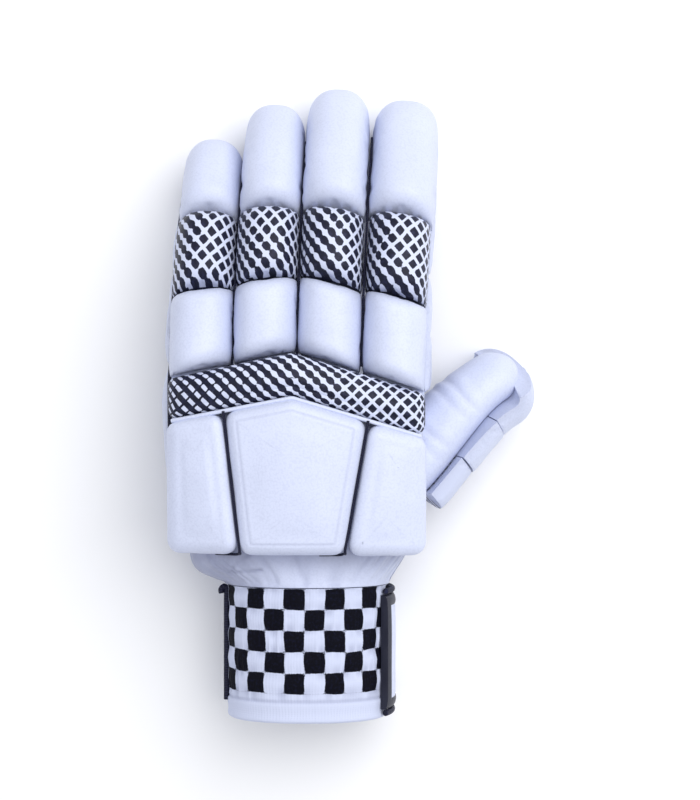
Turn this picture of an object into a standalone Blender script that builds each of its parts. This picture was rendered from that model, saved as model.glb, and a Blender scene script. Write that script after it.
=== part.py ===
"""Cricket batting glove for the left hand, lying palm down on its fingertips, thumb and cuff.

Metres, +Z up, +Y towards the fingertips, +X towards the thumb. The origin is the centre of the
box's underside. Lengths are worked out first in the hand's own frame, in which y = 0 is the
lower edge of the back pads and x = 0 the middle of the knuckles, and are moved at the end.
"""

import math

import bpy
from mathutils import Vector

MM = 0.001

# Sheets, gaps and the sizes that every pad follows
GAP = 0.3 * MM                  # clearance between pieces that touch
LEATHER = 1.8 * MM              # wall of the palm, back and stalls
SEAM_GAP = 0.6 * MM             # the groove between two pads of one finger
PAD_SKIRT = 8.5 * MM            # lower edge of pads and rolls above the hand's mid plane
BURY = 1.0 * MM                 # how far a piece reaches into what then cuts it
SEAT_GAP = 0.65 * MM            # clearance of a piece that is cut to a stall

# The hand form, from the wrist to the knuckles
WRIST_Y = -15.0 * MM
KNUCKLE_Y = 64.0 * MM
WRIST_WIDTH = 70.0 * MM
WRIST_DEPTH = 54.0 * MM
KNUCKLE_DEPTH = 34.0 * MM
WRIST_X = 4.0 * MM
WRIST_Z = 31.0 * MM
KNUCKLE_Z = 44.0 * MM
WRIST_SQUARENESS = 2.2
KNUCKLE_SQUARENESS = 4.5

# Finger stalls and the rolls on their backs
FINGER_PITCH = 27.2 * MM
FINGER_RADIUS = 12.2 * MM
FINGERTIP_RADIUS = 11.9 * MM
FINGER_REACH = 110.5 * MM       # knuckles to the middle fingertip's centre, seen from above
FINGER_CURL = math.radians(50)  # how far the fingertips point down
CURL_HANDLES = (0.46, 0.30)     # how long a finger stays level, and how long its tip points down
STALL_BASE = 26.0 * MM          # the stretch where the square knuckle turns round
TIP_SINK = 0.5 * MM             # how much the floor flattens a fingertip
ROLL_THICKNESS = 18.0 * MM
ROLL_WRAP = math.radians(84)    # how far a tip roll goes round the fingertip
ROLL_WRAP_LEFT = 0.45           # share of its thickness left at that end
ROLL_EDGE = 8.5 * MM            # rounding at the two ends of a roll
ROLL_SEAM = (0.30, 0.90)        # shares of a roll's thickness and width left at a seam
NET_ROLL = (0.97, 0.96)         # a net roll's thickness and width as shares of its neighbours'
DOME_POWER = 2.5                # how square a roll's section is: 2 is an ellipse

# Seams across the back, as seen from above: each rises to a peak between ring and middle
PEAK_X = -1.5 * MM
BAND_LOW_Y = 65.5 * MM
BAND_HIGH_Y = 84.5 * MM
NET_LOW_Y = 119.0 * MM
NET_HIGH_Y = 150.5 * MM

# Back pads and the knuckle band
BACK_WIDTH = 109.0 * MM
BACK_TOP = 80.5 * MM
BACK_CROWN = 0.564              # how much its sides lie below its middle, as a share of its padding
BACK_FALL = 0.256               # how much it falls towards the wrist, as a share of its padding
PAD_EDGE = 5.5 * MM             # rounding of its upper edges
PAD_CORNER = 6.5 * MM           # rounding of its corners, seen from above
PAD_CROWN = (0.62, 0.28)        # shares of its half width at which a pad's top has its rings
BAND_STEP = 0.18                # how much lower the knuckle band is, as a share of the padding
BAND_EDGE = 4.5 * MM            # rounding of its upper edges
BAND_CORNER = 5.0 * MM
CENTRE_PAD_TOP_WIDTH = 60.0 * MM
CENTRE_PAD_FOOT_WIDTH = 44.0 * MM

# Side bars, and the piping between them and the rolls
BAR_THICKNESS = 3.6 * MM
BAR_ABOVE = 3.5 * MM            # a bar's upper edge above the mid plane of hand and finger
BAR_BELOW = 10.5 * MM           # its lower edge below it
BAR_BULGE = (0.4, 1.0, 1.0, 0.4)  # its thickness from its upper edge to its lower edge
BAR_ENDS = 0.45                 # share of its thickness left at its ends
BAR_STEPS = 7
BAR_Y = 26.0 * MM               # where the first bar starts on the little finger's side
BAR_SEAM_LOW_Y = 79.0 * MM
BAR_SEAM_HIGH_Y = 119.0 * MM
THUMB_WEB = 4.0 * MM            # how far past the knuckles the thumb's leather reaches
PIPING_RADIUS = 1.3 * MM

# Thumb: its section is flatter than a finger's, and its pads are broader than the stall
THUMB_WIDTH = 33.0 * MM
THUMB_DEPTH = 25.0 * MM
THUMB_TIP_X = 84.0 * MM
THUMB_TIP_Y = 74.0 * MM
THUMB_ROOT_X = 20.0 * MM
THUMB_ROOT_Y = 12.0 * MM
THUMB_ROOT_Z = 36.0 * MM
THUMB_PAD_WIDTH = 42.0 * MM
THUMB_PAD_THICKNESS = 12.0 * MM
THUMB_SKIRT = 3.5 * MM          # lower edge of the thumb's pads above its centreline
THUMB_SEAM = (0.70, 0.96)       # shares of a thumb pad's thickness and width left at a seam
THUMB_PAD_TURN = math.radians(42)  # how far below level the thumb's pads face
THUMB_ARCH = 6.0 * MM           # how far the thumb bows towards the fingers
THUMB_HANDLES = (0.35, 0.30)    # shares of its length over which its two ends are straight

# Cuff and strap
CUFF_LENGTH = 57.0 * MM
CUFF_WIDTH = 70.0 * MM
CUFF_DEPTH = 57.0 * MM
CUFF_WALL = 4.0 * MM
CUFF_SQUARENESS = 2.3
CUFF_SINK = 1.4 * MM            # how much the floor flattens the cuff
STRAP_WIDTH = 49.0 * MM
STRAP_THICKNESS = 3.0 * MM
STRAP_START = math.radians(28)  # above level, on the thumb's side
STRAP_END = math.radians(-125)  # past the middle of the palm side
STRAP_ROUND = 26.0 * MM         # the stretch that rounds off its free end
STRAP_END_POWER = 2.4           # how square that end is: 2 is an ellipse
STRAP_EDGE = 0.9                # share of its half width where its edges start to round off
STRAP_CHAMFER = 0.35            # share of its thickness that the rounding takes

# Facets and where a stall has its rings, as shares of its length and as latitudes of its tip
STALL_STATIONS = (0.0, 0.1, 0.2, 0.35, 0.5, 0.65, 0.8, 0.9, 1.0)
TIP_LATITUDES = (32, 60, 82)
EDGE_STATIONS = (0.0, 0.18, 0.5, 1.0)  # rings over a roll's rounded end, as shares of that end
RING_POINTS = 12                # round a stall
HAND_POINTS = 24                # round the hand form
CUFF_POINTS = 32                # round the cuff
DOME_POINTS = 9                 # over a roll
ARCH_POINTS = 5                 # under a roll

# A finger a row: its place across the knuckles in finger pitches, how far its tip leans towards
# the thumb in pitches, its reach as a share of the middle finger's, and its tip's width in pitches
FINGERS = (
    # name, place, lean, reach, tip width
    ("little", -1.5, 0.103, 0.800, 0.948),
    ("ring", -0.5, 0.096, 0.936, 0.963),
    ("middle", 0.5, 0.121, 1.000, 1.000),
    ("index", 1.5, 0.202, 0.955, 1.048),
)

# A seam a row: its fall per unit of width on the little finger's side and on the thumb's side
SEAM_SLOPES = {
    # name: (little finger's side, thumb's side)
    "band_low": (0.19, 0.30),
    "band_high": (0.20, 0.30),
    "net_low": (0.13, 0.22),
    "net_high": (0.03, 0.09),
}

# The hand between wrist and knuckles: how much of the change in width and in depth is done
HAND_SHAPE = (
    # along, width, depth
    (0.00, 0.00, 0.00),
    (0.07, 0.22, 0.06),
    (0.14, 0.46, 0.14),
    (0.22, 0.64, 0.24),
    (0.36, 0.80, 0.42),
    (0.52, 0.90, 0.62),
    (0.76, 0.97, 0.86),
    (1.00, 1.00, 1.00),
)

# The thumb's stall along its length, as a share of its largest width and depth
THUMB_SHAPE = (
    # along, size
    (0.00, 0.85),
    (0.45, 1.00),
    (0.72, 0.94),
    (1.00, 0.78),
)

# The thumb's pads: where each starts and ends along it, and its width as a share of the pads'
THUMB_PADS = (
    # name, start, end, width
    ("base", 0.36, 0.59, 0.96),
    ("middle", 0.59, 0.86, 1.00),
    ("tip", 0.86, 1.00, 0.96),
)

WHITE = (0.86, 0.87, 0.91, 1.0)
NAVY = (0.02, 0.02, 0.05, 1.0)
NET = (0.45, 0.46, 0.52, 1.0)
PALM = (0.78, 0.79, 0.86, 1.0)


def clear_scene():
    for obj in list(bpy.data.objects):
        bpy.data.objects.remove(obj, do_unlink=True)


def material(name, colour, roughness):
    made = bpy.data.materials.new(name)
    made.use_nodes = True
    shader = made.node_tree.nodes["Principled BSDF"]
    shader.inputs["Base Color"].default_value = colour
    shader.inputs["Roughness"].default_value = roughness
    shader.inputs["Metallic"].default_value = 0.0
    return made


def add_piece(name, vertices, faces, finish):
    mesh = bpy.data.meshes.new(name)
    mesh.from_pydata([tuple(v) for v in vertices], [], faces)
    mesh.validate()
    mesh.materials.append(finish)
    mesh.shade_smooth()
    mesh.set_sharp_from_angle(angle=math.radians(40))
    piece = bpy.data.objects.new(name, mesh)
    bpy.context.collection.objects.link(piece)
    return piece


def add_cutter(name, vertices, faces):
    cutter = add_piece(name, vertices, faces, material(name, NAVY, 0.5))
    cutter.hide_render = True
    cutter.display_type = "WIRE"
    return cutter


def cut(piece, cutter, solver="EXACT"):
    modifier = piece.modifiers.new("cut_" + cutter.name, "BOOLEAN")
    modifier.operation = "DIFFERENCE"
    modifier.solver = solver
    modifier.object = cutter


def blend(low, high, share):
    return low + (high - low) * share


def smooth(share):
    share = min(1.0, max(0.0, share))
    return share * share * (3 - 2 * share)


def squircle(half_width, half_height, power, angle):
    """A point of a superellipse, which is an ellipse at power 2 and nears a box as it grows."""
    c, s = math.cos(angle), math.sin(angle)
    x = half_width * math.copysign(abs(c) ** (2 / power), c)
    y = half_height * math.copysign(abs(s) ** (2 / power), s)
    return x, y


def squircle_angle(half_height, power, height):
    """The angle at which a superellipse reaches a height above its middle."""
    return math.asin((height / half_height) ** (power / 2))


def read_table(rows, along):
    """The value at a place in a table of (along, value) rows."""
    for (a, low), (b, high) in zip(rows, rows[1:]):
        if along <= b:
            return blend(low, high, (along - a) / (b - a))
    return rows[-1][1]


def loft(rings, closed_start=True, closed_end=True):
    """Vertices and faces of a skin over rings of equally many points, running round +along."""
    vertices = [point for ring in rings for point in ring]
    count = len(rings[0])
    faces = []
    for row in range(len(rings) - 1):
        for k in range(count):
            a = row * count + k
            b = row * count + (k + 1) % count
            faces.append((a, b, b + count, a + count))
    if closed_start:
        faces.append(tuple(range(count))[::-1])
    if closed_end:
        first = (len(rings) - 1) * count
        faces.append(tuple(range(first, first + count)))
    return vertices, faces


def turned_out(vertices, faces):
    """The same faces, all turned round if together they hold a negative volume."""
    volume = 0.0
    for face in faces:
        a = vertices[face[0]]
        for b, c in zip(face[1:], face[2:]):
            volume += a.dot(vertices[b].cross(vertices[c]))
    if volume < 0:
        faces = [tuple(reversed(face)) for face in faces]
    return vertices, faces


class Stall:
    """The centreline of a finger or the thumb, with the directions across it and out of its back."""

    STEPS = 64

    def __init__(self, controls, back, sizes):
        self.points = [self.bezier(controls, k / self.STEPS) for k in range(self.STEPS + 1)]
        self.marks = [0.0]
        for a, b in zip(self.points, self.points[1:]):
            self.marks.append(self.marks[-1] + (b - a).length)
        self.length = self.marks[-1]
        self.back = back
        self.sizes = sizes

    @staticmethod
    def bezier(controls, u):
        a, b, c, d = controls
        v = 1 - u
        return v * v * v * a + 3 * v * v * u * b + 3 * v * u * u * c + u * u * u * d

    def at(self, distance):
        """(centre, across, out of the back, along) at a distance along the centreline."""
        inside = min(max(distance, 0.0), self.length - 1e-9)
        k = next(i for i, mark in enumerate(self.marks[1:]) if inside < mark)
        share = (inside - self.marks[k]) / (self.marks[k + 1] - self.marks[k])
        centre = self.points[k].lerp(self.points[k + 1], share)
        here, ahead = self.tangent(k), self.tangent(k + 1)
        along = here.lerp(ahead, share).normalized()
        out = (self.back - along * self.back.dot(along)).normalized()
        centre = centre + along * min(0.0, distance)
        return centre, along.cross(out), out, along

    def tangent(self, k):
        before = self.points[max(0, k - 1)]
        after = self.points[min(self.STEPS, k + 1)]
        return (after - before).normalized()

    def wrapped(self, distance, turn):
        """The same frame turned forwards over the tip by an angle."""
        centre, across, out, along = self.at(distance)
        if turn > 0:
            out, along = (
                out * math.cos(turn) + along * math.sin(turn),
                along * math.cos(turn) - out * math.sin(turn),
            )
        return centre, across, out, along

    def distance_at_y(self, y, height):
        """Where the surface that lies `height` above the centreline crosses a line across y."""
        steps = 400
        for k in range(steps + 1):
            distance = self.length * k / steps
            centre, _, out, _ = self.at(distance)
            if (centre + out * height).y >= y:
                return distance
        return self.length


def hand_section(y, grow=0.0):
    """(centre x, centre z, half width, half depth, squareness) of the hand form at a y."""
    share = min(1.0, max(0.0, (y - WRIST_Y) / (KNUCKLE_Y - WRIST_Y)))
    widened = read_table([row[:2] for row in HAND_SHAPE], share)
    thinned = read_table([row[::2] for row in HAND_SHAPE], share)
    knuckle_width = len(FINGERS) * FINGER_PITCH - GAP
    return (
        blend(WRIST_X, 0.0, widened),
        blend(WRIST_Z, KNUCKLE_Z, thinned),
        blend(WRIST_WIDTH, knuckle_width, widened) / 2 + grow,
        blend(WRIST_DEPTH, KNUCKLE_DEPTH, thinned) / 2 + grow,
        blend(WRIST_SQUARENESS, KNUCKLE_SQUARENESS, share * share),
    )


def hand_stations():
    return [blend(WRIST_Y, KNUCKLE_Y, row[0]) for row in HAND_SHAPE]


def hand_point(y, angle, grow=0.0, lift=0.0):
    x, z, half_width, half_depth, power = hand_section(y, grow)
    across, up = squircle(half_width, half_depth, power, angle)
    return Vector((x + across, y, z + up + lift))


def hand_form(grow, overrun):
    """The closed volume of the hand, grown, and run on past the wrist and the knuckles."""
    stations = hand_stations()
    rings = []
    for y in [stations[0] - overrun, *stations, stations[-1] + overrun]:
        ring = []
        for k in range(HAND_POINTS):
            point = hand_point(y, math.tau * k / HAND_POINTS, grow)
            ring.append(Vector((point.x, y, point.z)))
        rings.append(ring)
    return turned_out(*loft(rings))


def hand_half(name, start, finish):
    """One half of the hand's wall: the back from angle 0, or the palm from angle pi."""
    lift = GAP / 2 if start < math.pi / 2 else -GAP / 2
    half = HAND_POINTS // 2
    rings = []
    for k, y in enumerate(hand_stations()):
        y += GAP if k == 0 else 0.0
        y -= GAP if k == len(hand_stations()) - 1 else 0.0
        angles = [start + math.pi * k / half for k in range(half + 1)]
        outer = [hand_point(y, a, 0.0, lift) for a in angles]
        inner = [hand_point(y, a, -LEATHER, lift) for a in reversed(angles)]
        rings.append(outer + inner)
    return add_piece(name, *turned_out(*loft(rings)), finish)


def finger_sizes(length):
    """Half width, half height and squareness along a finger's stall."""

    def sizes(distance, grow=0.0):
        share = min(1.0, max(0.0, distance / length))
        radius = blend(FINGER_RADIUS, FINGERTIP_RADIUS, share)
        square = 1 - smooth(distance / STALL_BASE)
        half_width = blend(radius, (FINGER_PITCH - GAP) / 2, square)
        half_height = blend(radius, KNUCKLE_DEPTH / 2, square)
        power = blend(2.0, KNUCKLE_SQUARENESS, square)
        return half_width + grow, half_height + grow, power

    return sizes


def finger_stall(place, lean, reach_share):
    reach = FINGER_REACH * reach_share
    root = Vector((place * FINGER_PITCH, KNUCKLE_Y, KNUCKLE_Z))
    tip_z = FINGERTIP_RADIUS - TIP_SINK
    tip = root + Vector((lean * FINGER_PITCH, reach, tip_z - KNUCKLE_Z))
    down = Vector((lean * 0.2, math.cos(FINGER_CURL), -math.sin(FINGER_CURL)))
    level, pointing = CURL_HANDLES
    controls = (root, root + Vector((0, reach * level, 0)), tip - down * reach * pointing, tip)
    return Stall(controls, Vector((0, 0, 1)), finger_sizes(reach))


def thumb_sizes(distance, grow=0.0):
    size = read_table(THUMB_SHAPE, min(1.0, max(0.0, distance / thumb_length())))
    return THUMB_WIDTH / 2 * size + grow, THUMB_DEPTH / 2 * size + grow, 2.0


def thumb_length():
    return math.hypot(THUMB_TIP_X - THUMB_ROOT_X, THUMB_TIP_Y - THUMB_ROOT_Y)


def thumb_tip_z():
    """The height of the thumb's tip at which its broadest pad is at the floor."""
    depth = THUMB_DEPTH / 2 * THUMB_SHAPE[-1][1]
    lowest = 0.0
    for b, n in roll_dome(THUMB_SKIRT, depth + GAP + THUMB_PAD_THICKNESS, THUMB_PAD_WIDTH / 2):
        lowest = max(lowest, n * math.sin(THUMB_PAD_TURN) + b * math.cos(THUMB_PAD_TURN))
    return lowest - TIP_SINK


def thumb_stall():
    root = Vector((THUMB_ROOT_X, THUMB_ROOT_Y, THUMB_ROOT_Z))
    tip = Vector((THUMB_TIP_X, THUMB_TIP_Y, thumb_tip_z()))
    line = tip - root
    side = Vector((line.y, -line.x, 0)).normalized()
    bow = side * -THUMB_ARCH
    back = side * math.cos(THUMB_PAD_TURN) + Vector((0, 0, -math.sin(THUMB_PAD_TURN)))
    level, pointing = THUMB_HANDLES
    controls = (root, root + line * level - bow, tip - line * pointing + bow, tip)
    return Stall(controls, back, thumb_sizes)


def stall_rings(stall, grow, floor=None):
    """Rings round a stall and over its round tip, each of RING_POINTS points."""
    rings = []
    tip_radius = stall.sizes(stall.length, grow)[0]
    places = [(stall.length * share, 0.0) for share in STALL_STATIONS]
    places += [(stall.length, math.radians(a)) for a in TIP_LATITUDES]
    for distance, latitude in places:
        centre, across, out, along = stall.at(distance)
        half_width, half_height, power = stall.sizes(distance, grow)
        centre = centre + along * tip_radius * math.sin(latitude)
        ring = []
        for k in range(RING_POINTS):
            b, n = squircle(half_width, half_height, power, math.tau * k / RING_POINTS)
            point = centre + (across * b + out * n) * math.cos(latitude)
            if floor is not None:
                point.z = max(point.z, floor)
            ring.append(point)
        rings.append(ring)
    return rings


def hollow_stall(name, stall, finish):
    """A stall's leather: an outer and an inner skin, joined at its open end."""
    outer = stall_rings(stall, 0.0, floor=0.0)
    inner = stall_rings(stall, -LEATHER)
    skin, faces = loft(outer, closed_start=False)
    lining, lining_faces = loft(inner, closed_start=False)
    first = len(skin)
    faces += [tuple(first + k for k in reversed(face)) for face in lining_faces]
    for k in range(RING_POINTS):
        after = (k + 1) % RING_POINTS
        faces.append((k, first + k, first + after, after))
    return add_piece(name, *turned_out(skin + lining, faces), finish)


def filled_stall(name, stall, grow):
    return add_cutter(name, *turned_out(*loft(stall_rings(stall, grow))))


def seam_y(seam, peak, x):
    left, right = SEAM_SLOPES[seam]
    return peak - (left * (PEAK_X - x) if x < PEAK_X else right * (x - PEAK_X))


def seam_slope(seam, x):
    left, right = SEAM_SLOPES[seam]
    return left if x < PEAK_X else -right


def roll_dome(skirt, top, half_width):
    """The outer half of a roll's section, from one lower edge over the top to the other."""
    dome = []
    for k in range(DOME_POINTS):
        b, n = squircle(half_width, top - skirt, DOME_POWER, math.pi * k / (DOME_POINTS - 1))
        dome.append((b, skirt + n))
    return dome


def roll_section(sizes, skirt, thickness, half_width, under):
    """One section of a roll: a dome over the stall, then back along the stall, `under` its skin."""
    stall_width, stall_height, power = sizes
    seat_angle = squircle_angle(stall_height, power, skirt)
    arch = []
    for k in range(ARCH_POINTS):
        angle = blend(math.pi - seat_angle, seat_angle, k / (ARCH_POINTS - 1))
        b, n = squircle(stall_width - under, stall_height - under, power, angle)
        arch.append((b, max(n, skirt)))
    return roll_dome(skirt, stall_height + thickness, half_width) + arch


def roll(name, stall, span, slopes, size, skirt, seam, wrap, under, finish):
    """A padded roll on a stall's back, over a span along it and then over the tip by wrap."""
    start, end = span
    half_width, thickness = size
    reach = thickness + stall.sizes(end)[1]
    run = end - start
    total = run + wrap * reach
    marks = [share * ROLL_EDGE for share in EDGE_STATIONS]
    middle = 3 if wrap == 0 else 7
    inner = [blend(ROLL_EDGE, total - ROLL_EDGE, (k + 1) / (middle + 1)) for k in range(middle)]
    rings = []
    for mark in marks + inner + [total - m for m in reversed(marks)]:
        edge = min(1.0, min(mark, total - mark) / ROLL_EDGE)
        round_off = math.sqrt(1 - (1 - edge) ** 2)
        rise = blend(seam[0], 1.0, round_off)
        waist = blend(seam[1], 1.0, round_off)
        turn = max(0.0, mark - run) / reach
        left = blend(1.0, ROLL_WRAP_LEFT, smooth(turn / ROLL_WRAP))
        along_share = min(1.0, mark / run)
        slope = blend(slopes[0], slopes[1], along_share)
        here = start + min(mark, run)
        shape = (skirt, thickness * rise * left, half_width * waist, under)
        ring = []
        for k, (b, n) in enumerate(roll_section(stall.sizes(here, GAP), *shape)):
            place = min(here + slope * b * (1 - smooth(turn / ROLL_WRAP)), stall.length)
            b, n = roll_section(stall.sizes(place, GAP), *shape)[k]
            centre, across, out, _ = stall.wrapped(place, turn)
            point = centre + across * b + out * n
            point.z = max(point.z, 0.0)
            ring.append(point)
        rings.append(ring)
    return add_piece(name, *turned_out(*loft(rings)), finish)


def finger_rolls(name, stall, place, tip_width, finish, net_finish, form):
    """The three rolls of a finger: next to the knuckles, the net one, and the tip."""
    x = place * FINGER_PITCH
    top = FINGER_RADIUS + ROLL_THICKNESS
    seams = (
        ("band_high", BAND_HIGH_Y, FINGER_RADIUS),
        ("net_low", NET_LOW_Y, top),
        ("net_high", NET_HIGH_Y, top),
    )
    cuts = [stall.distance_at_y(seam_y(seam, peak, x), height) for seam, peak, height in seams]
    slopes = [seam_slope(seam, x) for seam, _, _ in seams]
    half = SEAM_GAP / 2
    wide = (FINGER_PITCH - SEAM_GAP) / 2
    tip_wide = (tip_width * FINGER_PITCH) / 2
    net_thick, net_wide = NET_ROLL
    base = roll("roll_base_" + name, stall, (cuts[0] + half, cuts[1] - half), slopes[:2],
                (wide, ROLL_THICKNESS), PAD_SKIRT, ROLL_SEAM, 0.0, BURY, finish)
    cut(base, form)
    roll("roll_net_" + name, stall, (cuts[1] + half, cuts[2] - half), slopes[1:],
         (wide * net_wide, ROLL_THICKNESS * net_thick), PAD_SKIRT, ROLL_SEAM, 0.0, 0.0, net_finish)
    roll("roll_tip_" + name, stall, (cuts[2] + half, stall.length), (slopes[2], 0.0),
         (tip_wide, ROLL_THICKNESS), PAD_SKIRT, ROLL_SEAM, ROLL_WRAP, 0.0, finish)


def thumb_pads(stall, finish, net_finish, forms):
    """The three broad pads down the thumb, of which the last wraps its tip."""
    for name, start, end, width in THUMB_PADS:
        wrap = ROLL_WRAP if end == 1.0 else 0.0
        span = (start * stall.length + GAP, end * stall.length - (0.0 if wrap else GAP))
        size = (THUMB_PAD_WIDTH / 2 * width, THUMB_PAD_THICKNESS)
        pad = roll("thumb_pad_" + name, stall, span, (0.0, 0.0), size, THUMB_SKIRT, THUMB_SEAM,
                   wrap, BURY, net_finish if name == "base" else finish)
        for form in forms:
            cut(pad, form, "MANIFOLD")


def rounded_outline(corners, radius, steps=3):
    """A plan outline with its corners rounded, running anticlockwise."""
    points = []
    count = len(corners)
    for k, corner in enumerate(corners):
        before = (corners[k - 1] - corner).normalized()
        after = (corners[(k + 1) % count] - corner).normalized()
        half_angle = before.angle(after) / 2
        if half_angle > math.radians(80):
            points.append(corner)
            continue
        reach = radius / math.tan(half_angle)
        start, end = corner + before * reach, corner + after * reach
        for j in range(steps + 1):
            u = j / steps
            points.append((1 - u) ** 2 * start + 2 * u * (1 - u) * corner + u * u * end)
    return points


def inset(outline, distance):
    """The outline moved inwards by a distance."""
    moved = []
    count = len(outline)
    for k, point in enumerate(outline):
        before = (point - outline[k - 1]).normalized()
        after = (outline[(k + 1) % count] - point).normalized()
        normal = Vector((-before.y - after.y, before.x + after.x)).normalized()
        stretch = 1 / max(0.5, normal.dot(Vector((-before.y, before.x))))
        moved.append(point + normal * distance * stretch)
    return moved


def back_padding():
    """How thick the padding over the knuckles is."""
    return BACK_TOP - KNUCKLE_Z - KNUCKLE_DEPTH / 2


def back_top(x, y):
    """The height of the padded back at a place in plan."""
    side = abs(x) / (BACK_WIDTH / 2)
    towards_wrist = max(0.0, 1 - y / BAND_LOW_Y)
    return BACK_TOP - back_padding() * (BACK_CROWN * side**2.2 + BACK_FALL * towards_wrist**2)


def pillow(name, corners, lower, corner_radius, edge, finish, forms):
    """A padded block over the back of the hand, with rounded edges, cut to the forms below it."""
    outline = rounded_outline([Vector(c) for c in corners], corner_radius)
    middle = sum(outline, Vector((0, 0))) / len(outline)
    rings = [[(p, None) for p in outline]]
    for share in (0.0, 0.3, 0.65, 1.0):
        angle = share * math.pi / 2
        drop = edge * (1 - math.sin(angle))
        rings.append([(p, drop) for p in inset(outline, edge * (1 - math.cos(angle)))])
    last = [p for p, _ in rings[-1]]
    for share in PAD_CROWN:
        rings.append([(middle.lerp(p, share), 0.0) for p in last])
    solid = []
    for ring in rings:
        placed = []
        for p, drop in ring:
            if drop is None:
                z = hand_section(p.y)[1] + PAD_SKIRT
            else:
                z = back_top(p.x, p.y) - lower - drop
            placed.append(Vector((p.x, p.y, z)))
        solid.append(placed)
    piece = add_piece(name, *turned_out(*loft(solid)), finish)
    for form in forms:
        cut(piece, form)
    return piece


def back_pads(finish, net_finish, hand, fingers):
    """The three pads on the back of the hand and the net band over the knuckles."""
    side = BACK_WIDTH / 2
    g = SEAM_GAP / 2
    top = CENTRE_PAD_TOP_WIDTH / 2
    foot = CENTRE_PAD_FOOT_WIDTH / 2
    low = [(x, seam_y("band_low", BAND_LOW_Y, x)) for x in (-side, -top, PEAK_X, top, side)]
    high = [(x, seam_y("band_high", BAND_HIGH_Y, x)) for x in (-side, PEAK_X, side)]
    lean = PEAK_X  # the centre pad's foot stands a little towards the little finger
    pillow("pad_centre",
           [(lean - foot + g, 0), (lean + foot - g, 0), (low[3][0] - g, low[3][1] - g),
            (low[2][0], low[2][1] - g), (low[1][0] + g, low[1][1] - g)],
           0.0, PAD_CORNER, PAD_EDGE, finish, [hand])
    pillow("pad_outer",
           [(low[0][0], g), (lean - foot - g, g), (low[1][0] - g, low[1][1] - g),
            (low[0][0], low[0][1] - g)],
           0.0, PAD_CORNER, PAD_EDGE, finish, [hand])
    pillow("pad_inner",
           [(lean + foot + g, -2 * g), (low[4][0], -2 * g), (low[4][0], low[4][1] - g),
            (low[3][0] + g, low[3][1] - g)],
           0.0, PAD_CORNER, PAD_EDGE, finish, [hand])
    pillow("knuckle_band",
           [(low[0][0] + g, low[0][1] + g), (low[2][0], low[2][1] + g),
            (low[4][0] - g, low[4][1] + g), (high[2][0] - g, high[2][1] - g),
            (high[1][0], high[1][1] - g), (high[0][0] + g, high[0][1] - g)],
           back_padding() * BAND_STEP, BAND_CORNER, BAND_EDGE, net_finish, [*fingers, hand])


def bar_section(half_width, half_height, power, thickness):
    """A bar's section beside a form: down its inner side, which the form cuts, and up its outer."""
    top = squircle_angle(half_height, power, BAR_ABOVE)
    bottom = -squircle_angle(half_height, power, BAR_BELOW)
    angles = [blend(bottom, top, k / 3) for k in range(4)]
    inner = [squircle(half_width - BURY, half_height - BURY, power, a) for a in angles]
    outer = []
    for angle, share in zip(reversed(angles), BAR_BULGE):
        grow = thickness * share
        outer.append(squircle(half_width + grow, half_height + grow, power, angle))
    return inner + outer


def side_frame(stall, side, distance):
    """(origin, across, out, sizes) down the hand's side, then past the knuckles down a stall's."""
    if distance < 0:
        y = KNUCKLE_Y + distance
        x, z, *sizes = hand_section(y, GAP)
        return Vector((x, y, z)), Vector((side, 0, 0)), Vector((0, 0, 1)), sizes
    centre, across, out, _ = stall.at(distance)
    return centre, across * side, out, stall.sizes(distance, GAP)


def bar(name, stall, side, start, end, finish, forms):
    """A padded strip down the outer side of a stall. side is -1 for the little finger's side."""
    rings = []
    for k in range(BAR_STEPS + 1):
        along = k / BAR_STEPS
        centre, across, out, sizes = side_frame(stall, side, blend(start, end, along))
        thickness = BAR_THICKNESS * blend(BAR_ENDS, 1.0, math.sqrt(1 - abs(2 * along - 1) ** 4))
        section = bar_section(*sizes, thickness)
        rings.append([centre + across * b + out * n for b, n in section])
    piece = add_piece(name, *turned_out(*loft(rings)), finish)
    for form in forms:
        cut(piece, form)


def side_bars(stalls, forms, hand, finish):
    """Three bars on the little finger's side, the first of them mostly on the hand, and two
    on the index finger's."""
    little, index = stalls["little"], stalls["index"]
    seams = [BAR_Y - KNUCKLE_Y]
    seams += [little.distance_at_y(y, 0.0) for y in (BAR_SEAM_LOW_Y, BAR_SEAM_HIGH_Y)]
    seams += [little.length]
    for name, start, end in zip(("low", "mid", "high"), seams, seams[1:]):
        near = [hand, forms["little"]] if start < 0 else [forms["little"]]
        bar(f"bar_{name}_little", little, -1, start + GAP, end - GAP, finish, near)
    seams = [THUMB_WEB, index.distance_at_y(BAR_SEAM_HIGH_Y, 0.0), index.length]
    for name, start, end in zip(("low", "high"), seams, seams[1:]):
        bar(f"bar_{name}_index", index, 1, start + GAP, end - GAP, finish, [forms["index"]])


def side_piping(stall, finish):
    """The piping between the rolls and the bars, down the little finger's side."""
    clear = PIPING_RADIUS + GAP
    beside = (FINGER_PITCH - SEAM_GAP) / 2 + clear
    above = PAD_SKIRT + PIPING_RADIUS
    side = -max(BACK_WIDTH / 2, hand_section(KNUCKLE_Y)[2]) - clear
    band_end = seam_y("band_high", BAND_HIGH_Y, -BACK_WIDTH / 2)
    path = []
    for k in range(7):
        y = blend(PAD_CORNER / 2, KNUCKLE_Y, k / 7)
        path.append(Vector((side, y, hand_section(y)[1] + above)))
    for k in range(13):
        centre, across, out, _ = stall.at(stall.length * k / 12)
        point = centre - across * beside + out * above
        if point.y < band_end:
            point.x = min(point.x, side)
        path.append(point)
    return cord("side_piping", path, finish)


def cuff_centre():
    return Vector((WRIST_X, 0, CUFF_DEPTH / 2 - CUFF_SINK + STRAP_THICKNESS + GAP))


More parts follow.
